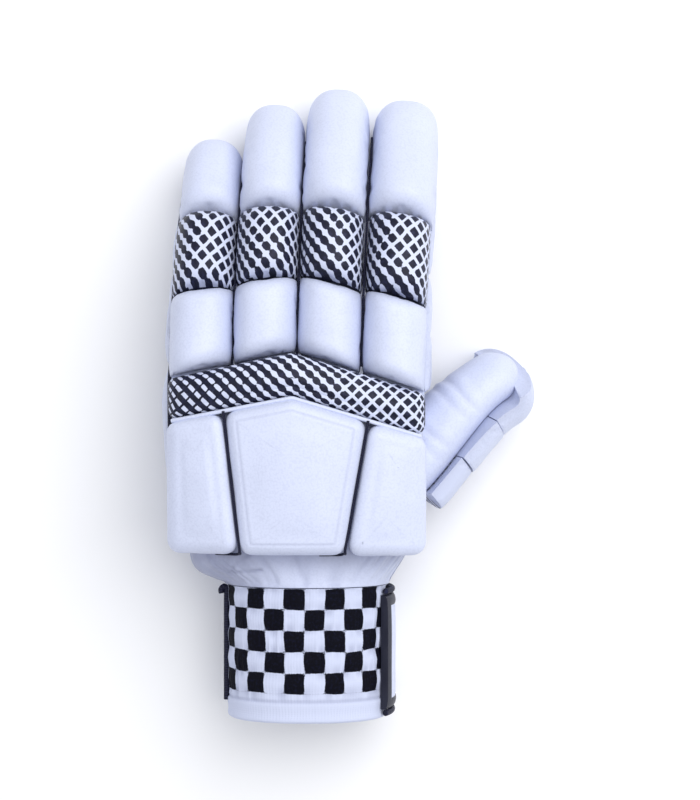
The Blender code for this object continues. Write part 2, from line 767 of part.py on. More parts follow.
def cuff_point(y, angle, grow, floor):
    """A point round the cuff, which the floor flattens underneath."""
    centre = cuff_centre()
    x, z = squircle(CUFF_WIDTH / 2 + grow, CUFF_DEPTH / 2 + grow, CUFF_SQUARENESS, angle)
    return Vector((centre.x + x, y, max(centre.z + z, floor)))


def cuff(finish):
    """The elasticated wristband, an open tube."""
    top, foot = WRIST_Y, WRIST_Y - CUFF_LENGTH
    rings = []
    for y, grow in ((foot, -CUFF_WALL), (foot, 0.0), (blend(foot, top, 0.5), 0.0), (top, 0.0),
                    (top, -CUFF_WALL), (blend(foot, top, 0.5), -CUFF_WALL)):
        floor = STRAP_THICKNESS + GAP - grow
        ring = [cuff_point(y, math.tau * k / CUFF_POINTS, grow, floor) for k in range(CUFF_POINTS)]
        rings.append(ring)
    vertices, faces = loft(rings + rings[:1], closed_start=False, closed_end=False)
    count = len(rings) * CUFF_POINTS
    faces = [tuple(k % count for k in face) for face in faces]
    return add_piece("cuff", *turned_out(vertices[:count], faces), finish)


def strap_run():
    """The strap's length round the cuff."""
    return abs(STRAP_START - STRAP_END) * (CUFF_WIDTH + CUFF_DEPTH) / 4


def strap_half_width(run, grow=0.0):
    """Half the strap's width at a run along it: full, then rounding off to the free end."""
    past = (run - strap_run() + STRAP_ROUND) / (STRAP_ROUND + grow)
    past = min(1.0, max(0.0, past))
    return (STRAP_WIDTH / 2 + grow) * (1 - past**STRAP_END_POWER) ** (1 / STRAP_END_POWER)


def strap_point(run, across, grow, floor):
    angle = blend(STRAP_START, STRAP_END, run / strap_run())
    middle = WRIST_Y - CUFF_LENGTH / 2
    return cuff_point(middle + across, angle, grow, floor)


def strap(finish):
    """The closing strap, from the thumb's side round to the palm side."""
    straight = strap_run() - STRAP_ROUND
    runs = [straight * k / 9 for k in range(9)]
    runs += [straight + STRAP_ROUND * math.sin(math.radians(a)) for a in (0, 30, 48, 62, 73, 82)]
    rings = []
    for run in runs:
        half = strap_half_width(run)
        under = [strap_point(run, half * a, GAP, STRAP_THICKNESS) for a in (-1, 0, 1)]
        edge = STRAP_EDGE
        over = [strap_point(run, half * a, GAP + STRAP_THICKNESS, 0.0) for a in (1, edge, 0, -edge, -1)]
        over[0] = over[0].lerp(under[2], STRAP_CHAMFER)
        over[-1] = over[-1].lerp(under[0], STRAP_CHAMFER)
        rings.append(under + over)
    return add_piece("strap", *turned_out(*loft(rings)), finish)


def cord(name, path, finish):
    """A round cord through a list of points."""
    curve = bpy.data.curves.new(name, "CURVE")
    curve.dimensions = "3D"
    curve.bevel_depth = PIPING_RADIUS
    curve.bevel_resolution = 1
    curve.use_fill_caps = True
    spline = curve.splines.new("POLY")
    spline.points.add(len(path) - 1)
    for slot, point in zip(spline.points, path):
        slot.co = (*point, 1.0)
    curve.materials.append(finish)
    piece = bpy.data.objects.new(name, curve)
    bpy.context.collection.objects.link(piece)
    return piece


def strap_piping(finish):
    """The piping round the strap's edge, from its root to its free end and back."""
    beside = PIPING_RADIUS + GAP
    radial = GAP + STRAP_THICKNESS / 2
    floor = STRAP_THICKNESS / 2
    straight = strap_run() - STRAP_ROUND
    runs = [straight * (0.02 + 0.98 * k / 14) for k in range(14)]
    runs += [straight + (STRAP_ROUND + beside) * math.sin(math.radians(90 * k / 8)) for k in range(9)]
    path = [strap_point(run, strap_half_width(run, beside), radial, floor) for run in runs]
    path += [strap_point(run, -strap_half_width(run, beside), radial, floor) for run in runs[-2::-1]]
    return cord("strap_piping", path, finish)


def cuff_piping(finish):
    """The piping down the cuff's seam, on the little finger's side."""
    foot = WRIST_Y - CUFF_LENGTH
    angle = math.radians(172)
    path = [cuff_point(blend(WRIST_Y, foot, share), angle, PIPING_RADIUS + GAP, 0.0)
            for share in (0.03, 0.25, 0.5, 0.75, 0.94)]
    return cord("cuff_piping", path, finish)


def rest_on_origin():
    """Moves every piece so that the origin is the centre of the box's underside."""
    bpy.context.view_layer.update()
    graph = bpy.context.evaluated_depsgraph_get()
    shown = [o for o in bpy.data.objects if not o.hide_render]
    corners = []
    for obj in shown:
        evaluated = obj.evaluated_get(graph)
        corners += [evaluated.matrix_world @ v.co for v in evaluated.to_mesh().vertices]
        evaluated.to_mesh_clear()
    low = Vector([min(c[k] for c in corners) for k in range(3)])
    high = Vector([max(c[k] for c in corners) for k in range(3)])
    shift = Vector((-(low.x + high.x) / 2, -(low.y + high.y) / 2, -low.z))
    for obj in bpy.data.objects:
        obj.location += shift
    print("moved by", [round(v / MM, 3) for v in shift])


def main():
    clear_scene()
    white = material("white_leather", WHITE, 0.45)
    palm = material("palm_leather", PALM, 0.6)
    net = material("net_fabric", NET, 0.7)
    cloth = material("cuff_fabric", WHITE, 0.85)
    navy = material("navy_piping", NAVY, 0.5)

    stalls = {name: finger_stall(place, lean, reach) for name, place, lean, reach, _ in FINGERS}
    thumb = thumb_stall()
    hand = add_cutter("hand_form", *hand_form(GAP, BAND_HIGH_Y - KNUCKLE_Y + PAD_EDGE))
    lumen = filled_stall("thumb_lumen", thumb, -LEATHER)

    for name, start, finish in (("back_leather", 0.0, white), ("palm_leather", math.pi, palm)):
        cut(hand_half(name, start, finish), lumen)
    for name, stall in stalls.items():
        hollow_stall("stall_" + name, stall, palm)
    forms = {name: filled_stall("form_" + name, stall, SEAT_GAP) for name, stall in stalls.items()}
    thumb_form = filled_stall("form_thumb", thumb, SEAT_GAP)
    thumb_leather = hollow_stall("stall_thumb", thumb, palm)
    cut(thumb_leather, hand)
    cut(thumb_leather, forms["index"])
    for name, place, _, _, tip_width in FINGERS:
        finger_rolls(name, stalls[name], place, tip_width, white, net, forms[name])
    back_pads(white, net, hand, forms.values())

    side_bars(stalls, forms, hand, white)
    side_piping(stalls["little"], navy)

    thumb_pads(thumb, white, net, [thumb_form, hand])

    cuff(cloth)
    strap(white)
    strap_piping(navy)
    cuff_piping(navy)
    rest_on_origin()


main()
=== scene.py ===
"""The looks of a cricket batting glove for the left hand, lying palm down on a pale floor.

Every soft piece is built over the frame's solids from the same few sizes. Lengths are worked out
in the hand's own frame, in which y = 0 is the lower edge of the back pads and x = 0 the middle of
the knuckles, and are moved by SHIFT when a piece is made.
"""

import math

import bmesh
import bpy
import numpy as np
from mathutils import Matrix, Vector


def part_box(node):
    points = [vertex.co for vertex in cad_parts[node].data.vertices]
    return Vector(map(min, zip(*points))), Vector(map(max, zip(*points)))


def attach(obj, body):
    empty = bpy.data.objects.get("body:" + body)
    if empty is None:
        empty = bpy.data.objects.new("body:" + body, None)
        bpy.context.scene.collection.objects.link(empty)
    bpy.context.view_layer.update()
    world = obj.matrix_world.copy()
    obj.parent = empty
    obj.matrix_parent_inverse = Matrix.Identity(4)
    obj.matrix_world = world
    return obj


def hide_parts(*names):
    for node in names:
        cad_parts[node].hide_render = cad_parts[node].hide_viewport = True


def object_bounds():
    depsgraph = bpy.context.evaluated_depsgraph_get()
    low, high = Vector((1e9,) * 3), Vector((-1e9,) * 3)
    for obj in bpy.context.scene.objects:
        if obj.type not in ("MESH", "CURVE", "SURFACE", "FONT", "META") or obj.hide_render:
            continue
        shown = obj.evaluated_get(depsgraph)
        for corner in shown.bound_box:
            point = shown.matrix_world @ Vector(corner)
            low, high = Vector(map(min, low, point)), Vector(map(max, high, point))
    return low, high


MM = 0.001

# The construction's sizes that the soft pieces follow
GAP = 0.3 * MM
LEATHER = 1.8 * MM
SEAM_GAP = 0.6 * MM
PAD_SKIRT = 8.5 * MM
WRIST_Y, KNUCKLE_Y = -15.0 * MM, 64.0 * MM
WRIST_WIDTH, WRIST_DEPTH, KNUCKLE_DEPTH = 70.0 * MM, 54.0 * MM, 34.0 * MM
WRIST_X, WRIST_Z, KNUCKLE_Z = 4.0 * MM, 31.0 * MM, 44.0 * MM
WRIST_SQUARENESS, KNUCKLE_SQUARENESS = 2.2, 4.5
FINGER_PITCH, FINGER_RADIUS, FINGERTIP_RADIUS = 27.2 * MM, 12.2 * MM, 11.9 * MM
FINGER_REACH, FINGER_CURL, CURL_HANDLES = 110.5 * MM, math.radians(50), (0.46, 0.30)
STALL_BASE, TIP_SINK = 26.0 * MM, 0.5 * MM
ROLL_THICKNESS, ROLL_WRAP, ROLL_WRAP_LEFT = 18.0 * MM, math.radians(84), 0.45
ROLL_EDGE, ROLL_SEAM, NET_ROLL, DOME_POWER = 7.0 * MM, (0.37, 0.95), (0.97, 0.96), 2.5
PEAK_X = -1.5 * MM
BAND_LOW_Y, BAND_HIGH_Y, NET_LOW_Y, NET_HIGH_Y = 65.5 * MM, 84.5 * MM, 119.0 * MM, 150.5 * MM
BACK_WIDTH, BACK_TOP, BACK_CROWN, BACK_FALL = 109.0 * MM, 80.5 * MM, 0.564, 0.256
PAD_EDGE, PAD_CORNER, BAND_STEP, BAND_EDGE, BAND_CORNER = 5.5 * MM, 6.5 * MM, 0.18, 4.5 * MM, 5.0 * MM
CENTRE_PAD_TOP_WIDTH, CENTRE_PAD_FOOT_WIDTH = 60.0 * MM, 44.0 * MM
BAR_THICKNESS, BAR_ABOVE, BAR_BELOW, BAR_ENDS = 3.6 * MM, 3.5 * MM, 10.5 * MM, 0.45
BAR_Y, BAR_SEAM_LOW_Y, BAR_SEAM_HIGH_Y = 26.0 * MM, 79.0 * MM, 119.0 * MM
THUMB_WEB, PIPING_RADIUS = 4.0 * MM, 1.3 * MM
THUMB_WIDTH, THUMB_DEPTH = 33.0 * MM, 25.0 * MM
THUMB_TIP, THUMB_ROOT = (84.0 * MM, 74.0 * MM), (20.0 * MM, 12.0 * MM, 36.0 * MM)
THUMB_PAD_WIDTH, THUMB_PAD_THICKNESS, THUMB_SKIRT = 42.0 * MM, 12.0 * MM, 3.5 * MM
THUMB_SEAM, THUMB_PAD_TURN = (0.93, 1.0), math.radians(42)
THUMB_ARCH, THUMB_HANDLES = 6.0 * MM, (0.35, 0.30)
CUFF_LENGTH, CUFF_WIDTH, CUFF_DEPTH, CUFF_WALL = 57.0 * MM, 70.0 * MM, 57.0 * MM, 4.0 * MM
CUFF_SQUARENESS, CUFF_SINK = 2.3, 1.4 * MM
STRAP_WIDTH, STRAP_THICKNESS, STRAP_ROUND, STRAP_END_POWER = 49.0 * MM, 3.0 * MM, 26.0 * MM, 2.4
STRAP_START, STRAP_END = math.radians(28), math.radians(-125)

FINGERS = (
    # name, place, lean, reach, tip width
    ("little", -1.5, 0.103, 0.800, 0.948),
    ("ring", -0.5, 0.096, 0.936, 0.963),
    ("middle", 0.5, 0.121, 1.000, 1.000),
    ("index", 1.5, 0.202, 0.955, 1.048),
)
SEAMS = {
    # name: y at the peak, slope to its left, slope to its right
    "band_low": (BAND_LOW_Y, 0.19, 0.30),
    "band_high": (BAND_HIGH_Y, 0.20, 0.30),
    "net_low": (NET_LOW_Y, 0.13, 0.22),
    "net_high": (NET_HIGH_Y, 0.03, 0.09),
}
HAND_SHAPE = (
    # along, width, depth
    (0.00, 0.00, 0.00),
    (0.07, 0.22, 0.06),
    (0.14, 0.46, 0.14),
    (0.22, 0.64, 0.24),
    (0.36, 0.80, 0.42),
    (0.52, 0.90, 0.62),
    (0.76, 0.97, 0.86),
    (1.00, 1.00, 1.00),
)
THUMB_SHAPE = ((0.00, 0.85), (0.45, 1.00), (0.72, 0.94), (1.00, 0.78))
THUMB_PADS = (
    # name, start, end, width
    ("base", 0.36, 0.59, 0.96),
    ("middle", 0.59, 0.86, 1.00),
    ("tip", 0.86, 1.00, 0.96),
)

# What only the looks need
STEP = 1.35 * MM                # spacing of a padded cover's points before it is refined
END_ROWS = 9                    # rows over a roll's rounded end
BAR_COLUMNS = 19
WALL_ROWS, EDGE_ROWS, TOP_ROWS = 14, 17, 26  # of a back pad's wall, rounded edge and top
NO_RIM = 9.0                    # mm, far enough from a net piece's edge to be free of its dark rim
STALL_COLUMNS = 96
SWELL = 1.6 * MM                # the furthest that a cover may swell
ROLL_GAP = 0.3 * MM             # between neighbouring finger rolls
TIP_BULGE = 0.4 * MM            # how far a tip roll may swell past its width
BINDING = 4.6 * MM              # width of the strap's dark edge
BAG = 5.5 * MM                  # how far the wrist's loose leather bulges at the outer side
VALLEY = 0.2                    # width of a fold's valley, as a share of the noise that makes it
HEM = 9.2 * MM                  # height of the cuff's hem
SIM_SCALE = 10.0                # the cloth is simulated this much larger
SIM_FRAMES = 20
SHARP = math.radians(60)        # edges that are sharper show as edges
WELD = 0.004 * MM
NET_PITCH = 4.1                 # mm between the net print's cells
CHECK_WIDTH, CHECK_HEIGHT = 8.65, 8.92  # mm, one square of the cuff's checkerboard
CHECK_ROWS = 5
CHECK_PLACE = -5.2              # mm, the middle of a dark square of the top row from the cuff's middle
PAD_PIPING, BAND_PIPING, SIDE_PIPING, GAP_PIPING = 0.6 * MM, 0.9 * MM, 1.15 * MM, 0.55 * MM
PALM_SEAM = ((50, 55), (26, 47), (13, 28), (22, 6), (37, -4))   # mm, round the thumb's patch
WRIST_SEAMS = (
    ((-31, -8.6), (-24, -8.0), (-15, -7.4)),                    # mm, the two short seams of the wrist
    ((-27, -7.6), (-25.5, -4.0), (-21, -1.0), (-15, 1.5)),
)
STITCH = (
    # along the stitch, share of its radius, lift
    (-0.5, 0.05, -0.6),
    (-0.42, 0.8, 0.0),
    (0.0, 1.0, 0.35),
    (0.42, 0.8, 0.0),
    (0.5, 0.05, -0.6),
)
STITCH_SIDES = 6
ZIGZAG = math.radians(38)
LONG_STITCH, LONG_GAP = 2.2 * MM, 1.0 * MM
CLOTH = dict(quality=4, mass=0.3, tension_stiffness=18, compression_stiffness=18, shear_stiffness=10,
             bending_stiffness=1.2, vertex_group_mass="held", use_pressure=True,
             uniform_pressure_force=0.9, use_pressure_volume=True, target_volume=0.0,
             shrink_min=-0.012, air_damping=6)
LENS, SENSOR, GLOVE_IN_VIEW = 85.0, 36.0, 0.80
SKY, SKY_STRENGTH = (0.93, 0.95, 1.0, 1.0), 0.62
FLOOR, FLOOR_HALF = (0.96, 0.96, 0.97, 1.0), 3.0
LIGHT_AIM = (0, 0, 0.03)
LIGHTS = (
    # name, place, energy, size
    ("key", (0.50, 0.42, 1.15), 14.5, 1.3),
    ("fill", (-0.8, -0.2, 1.0), 1.6, 1.2),
)

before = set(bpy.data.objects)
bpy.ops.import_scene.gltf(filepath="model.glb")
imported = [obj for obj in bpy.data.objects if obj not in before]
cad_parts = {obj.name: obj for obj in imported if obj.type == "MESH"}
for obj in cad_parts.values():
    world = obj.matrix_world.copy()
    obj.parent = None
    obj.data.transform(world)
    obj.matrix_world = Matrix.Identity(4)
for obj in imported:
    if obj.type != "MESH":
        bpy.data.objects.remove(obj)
cad_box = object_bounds()
cuff_low, cuff_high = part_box("cuff")
SHIFT = np.array(((cuff_low.x + cuff_high.x) / 2 - WRIST_X, cuff_low.y - WRIST_Y + CUFF_LENGTH, 0.0))


def vec(*values):
    return np.array(values, float)


def joined(*parts):
    """Coordinates spread to one shape and joined along a new last axis."""
    return np.stack(np.broadcast_arrays(*parts), -1)


def unit(v):
    return v / np.maximum(np.linalg.norm(v, axis=-1, keepdims=True), 1e-12)


def blend(low, high, share):
    return low + (high - low) * share


def smooth(share):
    share = np.clip(share, 0.0, 1.0)
    return share * share * (3 - 2 * share)


def bell(away, width):
    return np.exp(-((away / width) ** 2))


def squircle(half_width, half_height, power, angle):
    c, s = np.cos(angle), np.sin(angle)
    x = half_width * np.sign(c) * np.abs(c) ** (2 / power)
    y = half_height * np.sign(s) * np.abs(s) ** (2 / power)
    return x, y


LATTICE = np.random.RandomState(11).uniform(-1, 1, 8192)


def noise(points, wavelength, seed=0):
    """Smooth noise from -1 to 1 at an array of points."""
    p = np.asarray(points) / wavelength + 31.7 * (seed + 1)
    cell = np.floor(p).astype(np.int64)
    f = p - cell
    f = f * f * f * (f * (f * 6 - 15) + 10)
    total = 0.0
    for corner in np.ndindex(2, 2, 2):
        k = cell + np.array(corner)
        key = (k[..., 0] * 73856093) ^ (k[..., 1] * 19349663) ^ (k[..., 2] * 83492791)
        weight = np.prod(np.where(np.array(corner) == 1, f, 1 - f), axis=-1)
        total = total + LATTICE[(key & 0x7FFFFFFF) % len(LATTICE)] * weight
    return total


def normals(grid):
    """Unit normals of a grid of points, out of the side on which its columns run to the right."""
    return unit(np.cross(np.gradient(grid, axis=1), np.gradient(grid, axis=0)))


def ring_normals(rings):
    """Unit normals of rows of points that each close into a ring."""
    return normals(np.concatenate([rings, rings[:, :1]], 1))[:, :-1]


def refine(grid):
    """The grid with a point added between each two, on a smooth curve through them."""
    for axis in (0, 1):
        g = np.moveaxis(grid, axis, 0)
        ahead = np.concatenate([g[2:], [2 * g[-1] - g[-2]]])
        behind = np.concatenate([[2 * g[0] - g[1]], g[:-2]])
        between = (9 * (g[:-1] + g[1:]) - behind - ahead) / 16
        finer = np.empty((2 * len(g) - 1, *g.shape[1:]))
        finer[::2], finer[1::2] = g, between
        grid = np.moveaxis(finer, 0, axis)
    return grid


def run_along(path):
    """The distance run along a polyline at each of its points."""
    return np.concatenate([[0.0], np.cumsum(np.linalg.norm(np.diff(path, axis=0), axis=1))])


def sample(places, marks, table):
    """A table with a row for each mark, read at other places."""
    return np.stack([np.interp(places, marks, column) for column in table.T], -1)


def even(curve, count):
    """Shares along a polyline's points at which `count` points are evenly spaced."""
    run = run_along(curve)
    return np.interp(np.linspace(0, run[-1], count), run, np.arange(len(curve)))


def even_points(curve, count):
    return sample(even(curve, count), np.arange(len(curve)), curve)


def spline(points, count):
    """A smooth curve of evenly spaced points through a few."""
    points = np.asarray(points, float)
    padded = np.concatenate([[2 * points[0] - points[1]], points, [2 * points[-1] - points[-2]]])
    dense = []
    for k in range(len(points) - 1):
        a, b, c, d = padded[k:k + 4]
        u = np.linspace(0, 1, 24, endpoint=k == len(points) - 2)[:, None]
        dense.append(0.5 * (2 * b + (c - a) * u + (2 * a - 5 * b + 4 * c - d) * u**2
                            + (3 * b - a - 3 * c + d) * u**3))
    return even_points(np.concatenate(dense), count)


def averaged(share, rows, column, reach):
    """A column of a table of sections, read at shares along it and averaged over a short reach."""
    table = np.array(rows)
    around = np.linspace(-reach, reach, 7)
    return np.mean([np.interp(share + d, table[:, 0], table[:, column]) for d in around], axis=0)


# Pieces

def make_piece(name, points, faces, finish, uv=None, marks=None, weld=False, slot=None, stands_for=()):
    """A mesh piece that rides on the glove. uv is in millimetres; marks are named point values."""
    mesh = bpy.data.meshes.new(name)
    mesh.from_pydata((points.reshape(-1, 3) + SHIFT).tolist(), [], [tuple(f) for f in faces])
    if uv is not None:
        layer = mesh.uv_layers.new(name="mm")
        corner = np.zeros(len(mesh.loops), int)
        mesh.loops.foreach_get("vertex_index", corner)
        layer.data.foreach_set("uv", uv.reshape(-1, 2).astype(np.float32)[corner].ravel())
    for key, values in (marks or {}).items():
        attribute = mesh.attributes.new(key, "FLOAT", "POINT")
        attribute.data.foreach_set("value", values.astype(np.float32).ravel())
    if weld:
        work = bmesh.new()
        work.from_mesh(mesh)
        bmesh.ops.remove_doubles(work, verts=work.verts, dist=WELD)
        work.to_mesh(mesh)
        work.free()
    mesh.materials.append(finish)
    mesh.shade_smooth()
    mesh.set_sharp_from_angle(angle=SHARP)
    piece = bpy.data.objects.new(name, mesh)
    bpy.context.scene.collection.objects.link(piece)
    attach(piece, "root")
    if stands_for:
        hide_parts(*stands_for)
    return piece


def quads(rows, columns, closed=False):
    """Faces over rows of points, each row closed into a ring if asked."""
    r = np.arange(rows - 1)[:, None] * columns
    c = np.arange(columns if closed else columns - 1)[None, :]
    a, b = r + c, r + (c + 1) % columns
    return np.stack([a, b, b + columns, a + columns], -1).reshape(-1, 4)


def capped(rows, columns):
    """Faces over rings of points, with the two ends filled."""
    ends = [list(range(columns))[::-1], list(range((rows - 1) * columns, rows * columns))]
    return quads(rows, columns, closed=True).tolist() + ends


def ring_piece(name, rings, finish, **kinds):
    """A closed piece lofted over rings of points."""
    return make_piece(name, rings, capped(*rings.shape[:2]), finish, **kinds)


def tube(name, path, radius, sides=12, finish=None, slot="navy_piping", **kinds):
    """A round cord along a path, with its length in its uv."""
    along = unit(np.gradient(path, axis=0))
    side = unit(np.cross(along[0], vec(0.13, 0.31, 0.94)))
    turn = -math.tau * np.arange(sides) / sides
    rings = []
    for point, t in zip(path, along):
        side = unit(side - t * side.dot(t))
        up = np.cross(t, side)
        rings.append(point + radius * (np.outer(np.cos(turn), side) + np.outer(np.sin(turn), up)))
    uv = joined(np.arange(sides) / sides, run_along(path)[:, None] / MM)
    return ring_piece(name, np.array(rings), finish or navy_cord, uv=uv, slot=slot, **kinds)


def stitches(name, path, up, length, gap, radius, finish, slot, swing=0.0):
    """A row of thread stitches along a path; `swing` turns them to and fro into a zigzag."""
    run = run_along(path)
    count = max(1, int(run[-1] / (length + gap)))
    middles = (np.arange(count) + 0.5) * run[-1] / count
    centre, along, out = (sample(middles, run, table) for table in (path, np.gradient(path, axis=0), up))
    along, out = unit(along), unit(out)
    side = unit(np.cross(out, along))
    turn = swing * np.where(np.arange(count) % 2, 1.0, -1.0)[:, None]
    forward = along * np.cos(turn) + side * np.sin(turn)
    side = np.cross(out, forward)
    rings = []
    for place, size, lift in STITCH:
        for k in range(STITCH_SIDES):
            a = -math.tau * k / STITCH_SIDES
            rings.append(centre + forward * place * length
                         + (side * math.cos(a) + out * math.sin(a)) * size * radius + out * lift * radius)
    one = capped(len(STITCH), STITCH_SIDES)
    faces = [[k * len(rings) + i for i in face] for k in range(count) for face in one]
    return make_piece(name, np.stack(rings, 1), faces, finish, slot=slot)


# The hand's forms

class Stall:
    """The centreline of a finger or the thumb, with the directions across it and out of its back."""

    STEPS = 160

    def __init__(self, controls, back, sizes):
        u = np.linspace(0, 1, self.STEPS + 1)[:, None]
        v = 1 - u
        a, b, c, d = controls
        self.points = v**3 * a + 3 * v * v * u * b + 3 * v * u * u * c + u**3 * d
        self.marks = run_along(self.points)
        self.length = self.marks[-1]
        self.along = unit(np.gradient(self.points, axis=0))
        self.out = unit(back - self.along * (self.along @ back)[:, None])
        self.sizes = sizes

    def at(self, distance, turn=0.0):
        """(centre, across, out of the back, along), turned forwards over the tip by an angle."""
        inside = np.clip(distance, 0, self.length)
        points, along, out = (sample(inside, self.marks, t) for t in (self.points, self.along, self.out))
        along, out = unit(along), unit(out)
        centre = points + along * (distance - inside)[..., None]
        across = np.cross(along, out)
        c, s = np.cos(turn)[..., None], np.sin(turn)[..., None]
        return centre, across, out * c + along * s, along * c - out * s

    def distance_at_y(self, y, height):
        distance = np.linspace(0, self.length, 800)
        centre, _, out, _ = self.at(distance)
        past = np.nonzero((centre + out * height)[:, 1] >= y)[0]
        return distance[past[0]] if len(past) else self.length


def hand_section(y, grow=0.0):
    share = np.clip((np.asarray(y, float) - WRIST_Y) / (KNUCKLE_Y - WRIST_Y), 0, 1)
    widened, thinned = (averaged(share, HAND_SHAPE, column, 0.035) for column in (1, 2))
    return (
        blend(WRIST_X, 0.0, widened),
        blend(WRIST_Z, KNUCKLE_Z, thinned),
        blend(WRIST_WIDTH, len(FINGERS) * FINGER_PITCH - GAP, widened) / 2 + grow,
        blend(WRIST_DEPTH, KNUCKLE_DEPTH, thinned) / 2 + grow,
        blend(WRIST_SQUARENESS, KNUCKLE_SQUARENESS, share * share),
    )


def hand_point(y, angle, grow=0.0):
    x, z, half_width, half_depth, power = hand_section(y, grow)
    across, up = squircle(half_width, half_depth, power, angle)
    return joined(x + across, y, z + up)


def finger_stall(place, lean, reach_share):
    reach = FINGER_REACH * reach_share
    root = vec(place * FINGER_PITCH, KNUCKLE_Y, KNUCKLE_Z)
    tip = root + vec(lean * FINGER_PITCH, reach, FINGERTIP_RADIUS - TIP_SINK - KNUCKLE_Z)
    down = vec(lean * 0.2, math.cos(FINGER_CURL), -math.sin(FINGER_CURL))
    level, pointing = CURL_HANDLES

    def sizes(distance, grow=0.0):
        square = 1 - smooth(distance / STALL_BASE)
        radius = blend(FINGER_RADIUS, FINGERTIP_RADIUS, np.clip(distance / reach, 0, 1))
        return (
            blend(radius, (FINGER_PITCH - GAP) / 2, square) + grow,
            blend(radius, KNUCKLE_DEPTH / 2, square) + grow,
            blend(2.0, KNUCKLE_SQUARENESS, square),
        )

    controls = (root, root + vec(0, reach * level, 0), tip - down * reach * pointing, tip)
    return Stall(controls, vec(0, 0, 1), sizes)


def thumb_sizes(distance, grow=0.0):
    length = math.hypot(THUMB_TIP[0] - THUMB_ROOT[0], THUMB_TIP[1] - THUMB_ROOT[1])
    size = averaged(np.asarray(distance, float) / length, THUMB_SHAPE, 1, 0.08)
    return THUMB_WIDTH / 2 * size + grow, THUMB_DEPTH / 2 * size + grow, 2.0 + 0 * size


def thumb_stall():
    depth = THUMB_DEPTH / 2 * THUMB_SHAPE[-1][1] + GAP + THUMB_PAD_THICKNESS
    b, n = squircle(THUMB_PAD_WIDTH / 2, depth - THUMB_SKIRT, DOME_POWER, np.linspace(0, math.pi, 9))
    lowest = ((n + THUMB_SKIRT) * math.sin(THUMB_PAD_TURN) + b * math.cos(THUMB_PAD_TURN)).max()
    root = np.array(THUMB_ROOT)
    tip = vec(*THUMB_TIP, lowest - TIP_SINK)
    line = tip - root
    side = unit(vec(line[1], -line[0], 0))
    bow = side * -THUMB_ARCH
    back = side * math.cos(THUMB_PAD_TURN) + vec(0, 0, -math.sin(THUMB_PAD_TURN))
    level, pointing = THUMB_HANDLES
    controls = (root, root + line * level - bow, tip - line * pointing + bow, tip)
    return Stall(controls, back, thumb_sizes)


def seam_y(seam, x):
    peak, left, right = SEAMS[seam]
    return peak - (left * (PEAK_X - x) if x < PEAK_X else right * (x - PEAK_X))


def seam_slope(seam, x):
    _, left, right = SEAMS[seam]
    return left if x < PEAK_X else -right


STALLS = {name: finger_stall(place, lean, reach) for name, place, lean, reach, _ in FINGERS}
THUMB = thumb_stall()


# Padded covers: the rolls, the thumb's pads and the bars

class Cover:
    """A grid of points over one padded piece, left to right and along it, before it swells."""

    def __init__(self, name, grid, under, uv, across=None, centre=None, limit=None):
        self.name, self.grid, self.under, self.uv = name, grid, under, uv
        self.across, self.centre, self.limit = across, centre, limit


def end_spaced(total, edge):
    """Marks along a roll, closer over its two rounded ends."""
    turn = np.linspace(0, math.pi / 2, END_ROWS + 1)
    first = edge * (1 - np.cos(turn))
    middle = max(2, int(round((total - 2 * edge) / STEP)))
    inner = np.linspace(edge, total - edge, middle + 1)[1:-1]
    return np.concatenate([first, inner, total - first[::-1]])


def roll_cover(name, stall, span, slopes, size, skirt, seam, wrap):
    """The same sweep as the solid roll: a dome over a span of the stall, then over its tip."""
    start, end = span
    half_width, thickness = size
    reach = thickness + float(stall.sizes(end)[1])
    run = end - start
    total = run + wrap * reach
    mark = end_spaced(total, min(ROLL_EDGE, total / 2.2))[:, None]
    top = float(stall.sizes((start + end) / 2)[1]) + thickness - skirt
    turns = np.linspace(math.pi, 0, 361)
    section = joined(*squircle(half_width, top, DOME_POWER, turns))
    spaced = even(section, int(round(run_along(section)[-1] / STEP)) | 1)
    angle = np.interp(spaced, np.arange(len(turns)), turns)[None, :]
    edge = np.minimum(1.0, np.minimum(mark, total - mark) / ROLL_EDGE)
    round_off = np.sqrt(1 - (1 - edge) ** 2)
    turn = np.maximum(0.0, mark - run) / reach
    wrapped = smooth(turn / ROLL_WRAP)
    slope = blend(slopes[0], slopes[1], np.minimum(1.0, mark / run))
    here = start + np.minimum(mark, run)
    tall = thickness * blend(seam[0], 1.0, round_off) * blend(1.0, ROLL_WRAP_LEFT, wrapped)
    wide = half_width * blend(seam[1], 1.0, round_off)
    b, _ = squircle(wide, 1.0, DOME_POWER, angle)
    place = np.minimum(here + slope * b * (1 - wrapped), stall.length)
    height = stall.sizes(place, GAP)[1] + tall - skirt
    n = skirt + squircle(wide, height, DOME_POWER, angle)[1]
    centre, across, out, _ = stall.at(place, np.broadcast_to(turn, place.shape))
    grid = centre + across * b[..., None] + out * n[..., None]
    grid[..., 2] = np.maximum(grid[..., 2], 0.0)
    half, high, power = stall.sizes(here, GAP)
    seat = np.arcsin(np.minimum(1.0, skirt / high) ** (power / 2))
    share = np.linspace(1, -1, 9)[None, 1:-1]
    low = np.where(share > 0, blend(math.pi / 2, seat, share), blend(math.pi / 2, math.pi - seat, -share))
    ub, un = squircle(half, high, power, low)
    spot = np.minimum(here + slope * ub * (1 - wrapped), stall.length)
    c, a, o, _ = stall.at(spot, np.broadcast_to(turn, spot.shape))
    under = np.maximum(c + a * ub[..., None] + o * np.maximum(un, skirt)[..., None], (-9, -9, 0))
    girth = run_along(section[np.round(spaced).astype(int)])
    uv = joined(girth - girth[-1] / 2, place + turn * reach) / MM
    return Cover(name, grid, under, uv, across, centre, half_width)


